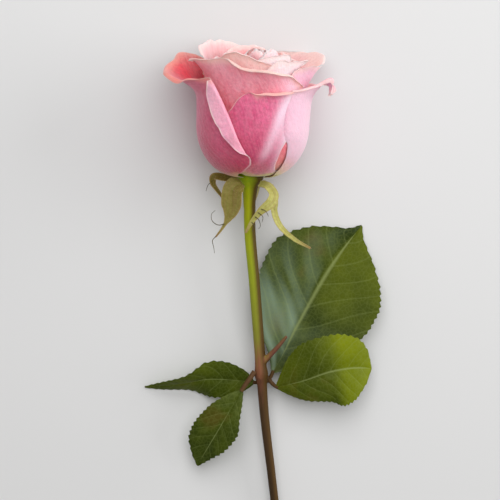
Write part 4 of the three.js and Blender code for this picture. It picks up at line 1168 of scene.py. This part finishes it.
def blade_body(blade, columns, rows, place=None):
    """A leaf or a sepal as a closed thin body."""
    even = np.linspace(-1, 1, columns)
    s, t = np.meshgrid(np.sign(even) * np.abs(even) ** BLADE_CROWDING, np.linspace(0, 1, rows))
    at, towards, length = spine(blade["points"])
    ahead = towards(t)
    ups = np.array(blade["ups"], float)
    stage = t * (len(ups) - 1)
    first = np.clip(stage.astype(int), 0, len(ups) - 2)
    up = mix(ups[first], ups[first + 1], smooth(stage - first)[..., None])
    side = np.cross(ahead, up)
    side /= np.linalg.norm(side, axis=-1, keepdims=True)
    up = np.cross(side, ahead)
    belly = np.sin(math.pi * t)
    half = np.where(s < 0, through(blade["left"], t), through(blade["right"], t))
    reach = half * np.abs(s)
    fold = np.where(s < 0, blade["folds"][0], blade["folds"][1]) * RAD

    vein = SIDE_VEINS * (t - vein_rise(reach / length, s, t))
    saw = 2 * math.pi * (blade.get("teeth", 0) * t + 0.3 * np.sign(s))
    tooth = blade.get("depth", 0) * np.sqrt(np.maximum(belly, 0)) * np.sin(saw + 0.7 * np.sin(saw))
    tooth = tooth * s**10 * 0.6
    quilt = blade.get("quilt", 0) * np.abs(np.sin(math.pi * vein)) ** 0.7 * smooth(np.abs(s) / 0.25)
    quilt = quilt * (1 - np.abs(s) ** 3) * np.sqrt(np.maximum(belly, 0))
    rib = np.exp(-((reach / RIB) ** 2)) * mix(1, 0.3, t)
    lift = blade.get("curl", 0) * s**2 * belly + quilt - RIB_SINKS * rib
    sideways = np.sign(s) * (reach + tooth) * np.cos(fold)
    points = at(t) + side * sideways[..., None] + ahead * (0.6 * tooth)[..., None]
    points = points + up * (reach * np.sin(fold) + lift)[..., None]
    edge = half * (1 - np.abs(s)) + length * np.minimum(0.02, 1 - t)
    thickness = mix(MARGIN_THICKNESS, blade["thickness"], smooth((1 - np.abs(s)) * half / 2))
    thickness = thickness + RIB_THICKNESS * rib
    body = sheet(points, s, thickness, edge, vein if blade.get("teeth") else t)
    tone = through(blade.get("tone_across", LEVEL), s) + through(blade.get("tone", LEVEL), t)
    body["tone"] = np.tile(tone.ravel(), 2)
    if place is not None:
        place = np.array(place)
        body["points"] = body["points"] @ place[:3, :3].T + place[:3, 3]
    return body


print("side veins leave the midrib at", round(math.degrees(math.atan2(1, VEIN_SLANT))), "degrees")

# %% [markdown]
# ## The leaves
# One leaf grows behind the stem, with three leaflets on short stalks. Another passes in front of it. The
# big end leaflet stands up beside the stem, the right one is folded towards the viewer, and the left one
# twists half over to its long tip. The leaflets could be copies of one, but no two of them hang alike,
# and each is its own blade.

# %% Blades of the leaves
# points run along the midrib, and ups say which way the top of the blade faces along it. "left" and "right"
# are its half widths by the share of its length, and folds the degrees that its halves are raised. tone is
# how much painted light it gets, along it and across it: above nothing, a brighter yellow-green where light
# comes through it, and below nothing, a painted bluish sheen.
FRONT_BLADE = {
    "points": [(-8, -12.4, 11.5), (-12.6, -20, 12.4), (-18.4, -30, 10.5), (-25.8, -42.7, 5.5)],
    "ups": [(-0.1, 0, 1), (-0.3, 0.1, 1)],
    "left": [(0, 0.6), (0.12, 2.8), (0.29, 5.4), (0.46, 8), (0.64, 7), (0.84, 3.4), (1, 0.35)],
    "right": [(0, 0.6), (0.12, 4.2), (0.36, 8.5), (0.6, 10), (0.75, 9.2), (0.9, 5), (1, 0.35)],
    "folds": (12, 12), "curl": -1, "teeth": 17, "depth": 0.55, "quilt": 0.25, "thickness": 0.3,
}
END_BLADE = {
    "points": [
        (4.1, -5.9, 4.1), (8.3, 1.6, 3.6), (13.5, 12, 3), (26.4, 34.6, 1.6), (34, 45.5, 1.1),
        (39.7, 52.7, 0.7),
    ],
    "ups": [(0, 0, 1), (0, 0, 1)],
    "left": [
        (0, 0.6), (0.08, 5), (0.2, 13.5), (0.33, 19.5), (0.5, 24), (0.64, 24.8), (0.81, 16.6),
        (0.88, 10), (0.94, 3.4), (1, 0.35),
    ],
    "right": [
        (0, 0.6), (0.08, 7), (0.2, 16), (0.33, 22.5), (0.5, 26.2), (0.6, 26), (0.74, 22), (0.84, 15),
        (0.9, 9), (0.95, 3.6), (1, 0.35),
    ],
    "folds": (6, 12), "curl": 1, "teeth": 26, "depth": 0.6, "quilt": 0.45, "thickness": 0.3,
    # its tone paints a bluish sheen on its left half, and light coming through it towards its tip
    "tone_across": [(-1, -0.45), (-0.5, -0.6), (-0.12, -0.5), (0, -0.1), (0.15, 0.05), (1, 0)],
    "tone": [(0, -0.25), (0.35, -0.1), (0.55, 0.25), (0.75, 0.45), (1, 0.5)],
}
RIGHT_BLADE = {
    "points": [(5.5, -11.6, 5.6), (16, -8.8, 10.6), (27, -4.9, 13), (36, -3.6, 11), (43.3, -4, 6.4)],
    "ups": [(0, -0.15, 1), (0.3, 0, 1)],
    "left": [
        (0, 0.6), (0.1, 5.5), (0.25, 11.5), (0.45, 14.5), (0.65, 14.2), (0.8, 12.3), (0.93, 7),
        (1, 0.35),
    ],
    "right": [
        (0, 0.6), (0.1, 4), (0.25, 8), (0.45, 11.5), (0.65, 14.5), (0.8, 12.5), (0.93, 7), (1, 0.35),
    ],
    "folds": (6, 8), "curl": -1.4, "teeth": 20, "depth": 0.55, "quilt": 0.35, "thickness": 0.3,
    # its tone paints light coming through it, most towards its tip
    "tone_across": [(-1, 0.25), (0, 0), (1, 0)],
    "tone": [(0, 0.3), (0.35, 0.1), (0.55, 0.2), (0.72, 0.9), (1, 1)],
}
LEFT_BLADE = {
    "points": [
        (-3.1, -9.8, 4.1), (-11.9, -8.7, 5.6), (-21.6, -8.3, 6.6), (-29.4, -9.6, 6), (-38, -10.9, 3.4),
        (-46.9, -11.8, 0.7),
    ],
    "ups": [(0, -0.2, 1), (0, -0.3, 1), (0, -1.6, 1), (0, -1, 1)],
    "left": [(0, 0.6), (0.1, 4.5), (0.3, 7.6), (0.48, 7.8), (0.6, 6), (0.72, 4.4), (0.9, 1.8), (1, 0.35)],
    "right": [
        (0, 0.6), (0.1, 4.5), (0.3, 7.8), (0.42, 8), (0.52, 6.2), (0.62, 4.6), (0.75, 3.4), (0.9, 1.6),
        (1, 0.35),
    ],
    "folds": (8, 8), "curl": -0.6, "teeth": 16, "depth": 0.45, "quilt": 0.2, "thickness": 0.3,
    "tone": [(0, 0.05), (1, 0.3)],
}
FRONT_STALK = [(-3.2, -5.2, 10), (-4.8, -7.6, 11), (-6.6, -10, 11.3), (-8.4, -12.8, 11.5)]
BACK_STALKS = [
    [(-0.2, -3.4, 3.3), (0.6, -5.8, 3.3), (2, -8, 3.5), (3.4, -9.4, 3.6)],
    [(2.6, -8.7, 3.5), (3.4, -7.4, 3.8), (4.4, -5, 4.2)],
    [(2.6, -8.8, 3.5), (4.4, -10.6, 4.5), (6.2, -11.8, 6)],
    [(2.8, -8.9, 3.5), (0, -9.7, 3.6), (-3.8, -9.8, 4.2)],
]
print("the end leaflet is", round(spine(END_BLADE["points"])[2]), "mm long")

# %% The leaves
STALK_EDGE = 0.1  # mm from an edge, so that a stalk gets the red of a leaf's margin


def leaf(node_name, blades, stalks):
    """A leaf of some blades on stalks, of which the first is the thickest."""
    bodies = [blade_body(blade, BLADE_COLUMNS, BLADE_ROWS) for blade in blades]
    for k, points in enumerate(stalks):
        thick = 1.05 if k == 0 else 0.85
        body = bar(
            points, lambda t: mix(thick, thick * 0.8, t), steps=20, sides=14, grown=(0.3, 0.5, 1)
        )
        body["edge"] = np.full(len(body["points"]), STALK_EDGE)
        bodies.append(body)
    return grow(node_name, mesh_of(node_name, bodies), leaf_skin)


leaf_front = leaf("leaf_front", [FRONT_BLADE], [FRONT_STALK])
leaf_back = leaf("leaf_back", [END_BLADE, RIGHT_BLADE, LEFT_BLADE], BACK_STALKS)
print("leaf faces:", len(leaf_front.data.polygons), len(leaf_back.data.polygons))

# %% [markdown]
# ## The sepals
# Five green sepals held the bud. As it opened they bent back, and each curls its own way. Two are broad
# and lie along the stem, one hooks up at the left, one leans against the stem, one trails off to the
# right.

# %% The sepals
def tapering(width, at=0.3):
    """Half the outline of a slim sepal, widest at that share of its length."""
    return [(0, 1.4), (at, width), (0.7, width * 0.55), (1, 0.4)]


SEPALS = {
    "sepal_front_left": {
        "points": [
            (-3.3, -3.4, -2.1), (-6.3, -5.2, -4), (-6.9, -5.2, -13), (-9.6, -4.7, -19),
            (-12.6, -4.4, -23.5),
        ],
        "ups": [(-0.3, -1, 0.3), (-0.6, -1, 0)],
        "left": [(0, 1.8), (0.12, 4.3), (0.38, 4.6), (0.52, 3.4), (0.64, 1.8), (0.75, 0.8), (1, 0.3)],
        "right": [(0, 1.8), (0.12, 4), (0.4, 4.4), (0.55, 3.2), (0.66, 1.6), (0.76, 0.7), (1, 0.3)],
        "folds": (18, 18), "tone": [(0, 0.1), (1, 0.3)],
    },
    "sepal_left": {
        "points": [
            (-5.15, 1.7, -1.8), (-10, 2.5, -1.2), (-14.3, 3, -1), (-14.8, 3.5, -3.4), (-12.3, 3.5, -7),
            (-9.4, 3, -10.5),
        ],
        "ups": [(0, -1, 1), (0.6, -1, 0.6)], "left": tapering(1.8), "right": tapering(1.8),
        "tone": [(0, -0.2), (1, 0)],
    },
    "sepal_front_right": {
        "points": [
            (3.6, -3.8, -1.9), (6.6, -5.6, -2.4), (9.2, -6.6, -5.6), (8.2, -7.6, -8.6),
            (4.6, -7.6, -12), (1.6, -7, -16), (-1, -6.4, -21),
        ],
        "ups": [(0.4, -1, 0.5), (0, -1, 0)], "left": tapering(2.1, 0.4), "right": tapering(2.1, 0.4),
        "tone": [(0, 0.7), (1, 0.9)],
    },
    "sepal_right": {
        "points": [
            (4.45, -1.05, -1.9), (8.2, -1.9, -3.8), (9.6, -2.5, -9), (9.6, -2.5, -12.5),
            (12, -2.6, -18), (18, -3, -23.2), (24.7, -3.4, -26.6),
        ],
        "ups": [(1, -1, 0.4), (0.3, -1, 0)], "left": tapering(1.8, 0.2), "right": tapering(1.8, 0.2),
        "tone": [(0, 1), (1, 0.6)],
    },
    "sepal_back": {
        "points": [(0.9, 4.6, -1.9), (1.9, 7.4, -2.8), (1.7, 9.2, -7), (0.9, 9.4, -12), (0.2, 9, -18)],
        "ups": [(0.2, 1, 1), (0.2, 1, 0.2)], "left": tapering(2), "right": tapering(2),
        "tone": [(0, 0.3), (1, 0.3)],
    },
}
sepal_meshes = {}
for name, sepal in SEPALS.items():
    body = blade_body({"folds": (15, 15), "thickness": 0.4, **sepal}, 25, 90, in_world)
    sepal_meshes[name] = mesh_of(name, [body])
    grow(name, sepal_meshes[name], sepal_skin)
print(len(SEPALS), "sepals")

# %% [markdown]
# ## Hairs, threads and veins
# Three small things repeat: the stiff hairs on a sepal, the threads that its torn lobes end in, and the
# ribs on the underside of a leaf. The first is scattered over a surface and the others follow lines,
# which is what Geometry Nodes are for. One tree plants a slim cone on each of many random points of a
# mesh. The other turns every line of a mesh into a tube as thick as the line says. A particle system
# could grow the hairs too, but they would not be faces that can be kept with the flower.

# %% Geometry trees
def new_tree(name, sockets):
    """A geometry tree with a mesh going in, the named inputs beside it, and a mesh coming out."""
    tree = bpy.data.node_groups.new(name, "GeometryNodeTree")
    tree.interface.new_socket("Mesh", in_out="OUTPUT", socket_type="NodeSocketGeometry")
    tree.interface.new_socket("Mesh", in_out="INPUT", socket_type="NodeSocketGeometry")
    for label, kind in sockets.items():
        tree.interface.new_socket(label, in_out="INPUT", socket_type="NodeSocket" + kind)
    return tree, node(tree, "NodeGroupInput").outputs


def finished(tree, geometry, material):
    """Ends a tree with real faces that carry the finish."""
    real = node(tree, "GeometryNodeRealizeInstances", {"Geometry": geometry})
    painted = node(tree, "GeometryNodeSetMaterial", {"Geometry": real.outputs[0], "Material": material})
    node(tree, "NodeGroupOutput", {"Mesh": painted.outputs[0]})


def made_by(tree, name, mesh, values):
    """The mesh that a tree makes of another, with its inputs set by their labels."""
    piece = bpy.data.objects.new(name, mesh)
    bpy.context.scene.collection.objects.link(piece)
    step = piece.modifiers.new(name, "NODES")
    step.node_group = tree
    for item in tree.interface.items_tree:
        if item.in_out == "INPUT" and item.name in values:
            step[item.identifier] = values[item.name]
    bpy.context.view_layer.update()
    made = bpy.data.meshes.new_from_object(piece.evaluated_get(bpy.context.evaluated_depsgraph_get()))
    bpy.data.objects.remove(piece)
    return made


def add_piece(name, mesh):
    piece = bpy.data.objects.new(name, mesh)
    bpy.context.scene.collection.objects.link(piece)
    mesh.shade_smooth()
    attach(piece, "root")
    sides = [round(float(side) / MM, 1) for side in piece.dimensions]
    print(name, "has", len(mesh.polygons), "faces and measures", sides, "mm")


print("trees end in real faces, because the export drops instances")

# %% A tree that plants hairs
hair_tree, given = new_tree("planted hairs", {
    "Density": "Float", "Length": "Float", "Width": "Float", "Seed": "Int", "Finish": "Material",
})
planted = node(hair_tree, "GeometryNodeDistributePointsOnFaces", {
    "Mesh": given["Mesh"], "Density": given["Density"], "Seed": given["Seed"],
}).outputs
cone = node(hair_tree, "GeometryNodeMeshCone", {
    "Vertices": 4, "Radius Top": 0.01 * MM, "Radius Bottom": given["Width"], "Depth": given["Length"],
})
tall = node(hair_tree, "FunctionNodeRandomValue", {2: 0.5, 3: 1.3, "Seed": given["Seed"]}).outputs[1]
hairs = node(hair_tree, "GeometryNodeInstanceOnPoints", {
    "Points": planted["Points"], "Instance": cone.outputs["Mesh"],
    "Rotation": planted["Rotation"], "Scale": tall,
})
finished(hair_tree, hairs.outputs[0], given["Finish"])
print(hair_tree.name, "takes", [label for label in given.keys() if label])

# %% A tree that makes tubes
thread_tree, given = new_tree("tubes along lines", {"Sides": "Int", "Finish": "Material"})
curves = node(thread_tree, "GeometryNodeMeshToCurve", {"Mesh": given["Mesh"]}).outputs[0]
thick = node(thread_tree, "GeometryNodeInputNamedAttribute", {"Name": "thick"}, data_type="FLOAT")
ring = node(thread_tree, "GeometryNodeCurvePrimitiveCircle", {"Resolution": given["Sides"], "Radius": 1.0})
tubes = node(thread_tree, "GeometryNodeCurveToMesh", {
    "Curve": curves, "Profile Curve": ring.outputs[0], "Scale": thick.outputs[0], "Fill Caps": True,
})
finished(thread_tree, tubes.outputs[0], given["Finish"])
print(thread_tree.name, "takes", [label for label in given.keys() if label])

# %% Lines and plain finishes
def lines_mesh(name, lines):
    """A mesh of open lines. Each is a list of points in mm with its thickness at both ends."""
    points, edges, thick = [], [], []
    for line, start, end in lines:
        first = len(points)
        points += (np.asarray(line) * MM).tolist()
        edges += [(first + k, first + k + 1) for k in range(len(line) - 1)]
        thick += np.linspace(start * MM, end * MM, len(line)).tolist()
    mesh = bpy.data.meshes.new(name)
    mesh.from_pydata(points, edges, [])
    mesh.attributes.new("thick", "FLOAT", "POINT").data.foreach_set("value", thick)
    return mesh


def plain_green(name, colour, roughness):
    """A finish of one colour."""
    made = bpy.data.materials.new(name)
    made.use_nodes = True
    made.node_tree.nodes["Principled BSDF"].inputs["Base Color"].default_value = linear(colour)
    made.node_tree.nodes["Principled BSDF"].inputs["Roughness"].default_value = roughness
    return made


# dry threads look nearly black against the pale ground, hairs are seen only as a soft edge, and ribs are a
# paler line under a leaf
dry_thread = plain_green("dry rose sepal thread", "#4a4226", 0.7)
hair_skin = plain_green("rose gland hair", "#b49a72", 0.6)
rib_skin = plain_green("rose leaf underside rib", "#a3ab7c", 0.55)
print("plain finishes:", dry_thread.name, "and", hair_skin.name, "and", rib_skin.name)

# %% Hairs on the sepals
HAIR_LENGTH, HAIR_WIDTH = 0.55, 0.05  # mm
HAIRS_PER_MM2 = 1.1

for place, (name, mesh) in enumerate(sepal_meshes.items()):
    values = {
        "Density": HAIRS_PER_MM2 / MM**2, "Length": HAIR_LENGTH * MM, "Width": HAIR_WIDTH * MM,
        "Seed": 3 + place, "Finish": hair_skin,
    }
    add_piece("hairs_" + name, made_by(hair_tree, name, mesh, values))

# %% Threads on the sepals
THREAD_SIDES = 5
THREADS = [  # in the flower's frame: from the torn margins of the sepals
    [(-9.4, -5, -18.2), (-11.8, -5.6, -18.6), (-14.2, -6, -17), (-14.6, -6, -14.4), (-13.2, -6, -12.8)],
    [(-12.6, -4.4, -23.4), (-13.8, -4.6, -25), (-13.2, -4.8, -27.6), (-12.8, -4.6, -30)],
    [(-14.6, 3.4, -2.2), (-16.6, 2.6, -4.4), (-17.2, 2.2, -6.6)],
    [(4.6, -7.9, -11.2), (6.4, -8.6, -11.8), (7.6, -8.8, -13.8)],
    [(3.4, -7.9, -12.6), (5.4, -8.8, -14), (5.2, -9, -16.2)],
    [(2.4, -7.6, -14.4), (3.8, -8.6, -15.2), (4.6, -8.6, -17.8), (4, -8.6, -19)],
    [(1.2, -7.2, -16.6), (2.4, -8, -18.2), (1.4, -8, -20.2)],
]
place_in_world = np.array(in_world)
threads = []
for points in THREADS:
    curve = spine(points)[0](np.linspace(0, 1, 16))
    threads.append((curve @ place_in_world[:3, :3].T + place_in_world[:3, 3], 0.2, 0.09))
values = {"Sides": THREAD_SIDES, "Finish": dry_thread}
add_piece("sepal_threads", made_by(thread_tree, "threads", lines_mesh("threads", threads), values))

# %% Ribs under the leaves
def on_grid(grid, row, column):
    """Points of a grid between its rows and columns."""
    low_row = np.minimum(np.floor(row).astype(int), grid.shape[0] - 2)
    low_column = np.minimum(np.floor(column).astype(int), grid.shape[1] - 2)
    down, aside = (row - low_row)[:, None], (column - low_column)[:, None]
    near = mix(grid[low_row, low_column], grid[low_row, low_column + 1], aside)
    far = mix(grid[low_row + 1, low_column], grid[low_row + 1, low_column + 1], aside)
    return mix(near, far, down)


def rib_lines(blade):
    """The side veins under a blade, each from its midrib towards the margin."""
    body = blade_body(blade, BLADE_COLUMNS, BLADE_ROWS)
    under = body["points"][BLADE_COLUMNS * BLADE_ROWS :].reshape(BLADE_ROWS, BLADE_COLUMNS, 3)
    length = spine(blade["points"])[2]
    lines = []
    for key, sign in (("left", -1), ("right", 1)):
        for k in range(1, SIDE_VEINS):
            s = np.linspace(0.04, 0.9, 14)
            t = np.full_like(s, k / SIDE_VEINS)
            for _ in range(6):
                reach = through(blade[key], t) * s
                t = k / SIDE_VEINS + vein_rise(reach / length, sign * s, t)
            column = (sign * s ** (1 / BLADE_CROWDING) + 1) / 2 * (BLADE_COLUMNS - 1)
            row = np.clip(t, 0, 1) * (BLADE_ROWS - 1)
            points = on_grid(under, row, column)[t < 0.97]
            if len(points) > 3:
                lines.append((points, 0.2, 0.08))
    return lines


for name, blades in (("leaf_front", [FRONT_BLADE]), ("leaf_back", [END_BLADE, RIGHT_BLADE, LEFT_BLADE])):
    lines = [line for blade in blades for line in rib_lines(blade)]
    values = {"Sides": THREAD_SIDES, "Finish": rib_skin}
    add_piece(name + "_ribs", made_by(thread_tree, name, lines_mesh(name, lines), values))

# %% [markdown]
# ## The stem
# The stem, the green cup that carries the petals, the swollen joint where the leaves grow and the cut
# stump of a side shoot are one growth, with no seam between them. They are drawn as separate bars and
# then melted together: a remesh lays one skin over all of them and a smoothing rounds the corners where
# they meet. Joining them with boolean cuts would leave sharp corners that no plant has.

# %% The stem
STEM_POINTS = [
    (-4.7, 71.4, 16.7), (-5, 51.9, 13.4), (-3.3, 31.6, 10.8), (-1.75, 11.7, 8.8), (-0.5, -5, 7.6),
    (0.8, -22.2, 6.2), (3.7, -46.8, 4.6), (7.4, -78, 3), (10.8, -103, 2), (14, -125.4, 1.6),
]
STEM_RADII = [(0, 2.35), (0.35, 2.15), (0.375, 2.3), (0.395, 2.75), (0.415, 2), (0.6, 1.7), (1, 1.55)]
CUP_PROFILE = [
    (-12, 2.3), (-8, 2.6), (-4, 3.1), (-1.5, 4.3), (0, 5.2), (2.5, 4.97), (4.7, 4.33), (6.6, 3.28),
    (7.9, 1.9), (8.4, 0.6),
]
SHOOT_POINTS = [(-0.3, -2.5, 7.8), (2.5, 0.8, 9.2), (6, 4.6, 10.9), (9.6, 9, 12.2)]

cup_foot, cup_top = CUP_PROFILE[0][0], CUP_PROFILE[-1][0]
cup_points = [tuple(in_world @ Vector((0, 0, height))) for height in (cup_foot, 0, cup_top)]
cup_radii = [((height - cup_foot) / (cup_top - cup_foot), radius) for height, radius in CUP_PROFILE]
stem_bodies = [
    bar(STEM_POINTS, lambda t: through(STEM_RADII, t), steps=260, sides=32),
    bar(cup_points, lambda t: through(cup_radii, t), steps=60, sides=48),
    bar(SHOOT_POINTS, lambda t: mix(1.35, 0.65, t), steps=30, sides=20),
]
print("stem, cup and side shoot are", len(stem_bodies), "bars")

# %% One skin over the stem
SKIN_GRAIN = 0.35  # mm, the side of the remeshed faces
SMOOTHING_ROUNDS = 8


def melted(name, mesh, grain, rounds):
    """One smooth skin over the crossing bodies of a mesh."""
    piece = bpy.data.objects.new(name, mesh)
    bpy.context.scene.collection.objects.link(piece)
    remesh = piece.modifiers.new("skin", "REMESH")
    remesh.mode = "VOXEL"
    remesh.voxel_size = grain * MM
    smoothing = piece.modifiers.new("smooth", "SMOOTH")
    smoothing.iterations = rounds
    bpy.context.view_layer.update()
    made = bpy.data.meshes.new_from_object(piece.evaluated_get(bpy.context.evaluated_depsgraph_get()))
    bpy.data.objects.remove(piece)
    made.shade_smooth()
    return made


stem_mesh = melted("stem", mesh_of("stem", stem_bodies), SKIN_GRAIN, SMOOTHING_ROUNDS)
grow("stem", stem_mesh, stem_skin)
print("the stem is", round(spine(STEM_POINTS)[2]), "mm long")
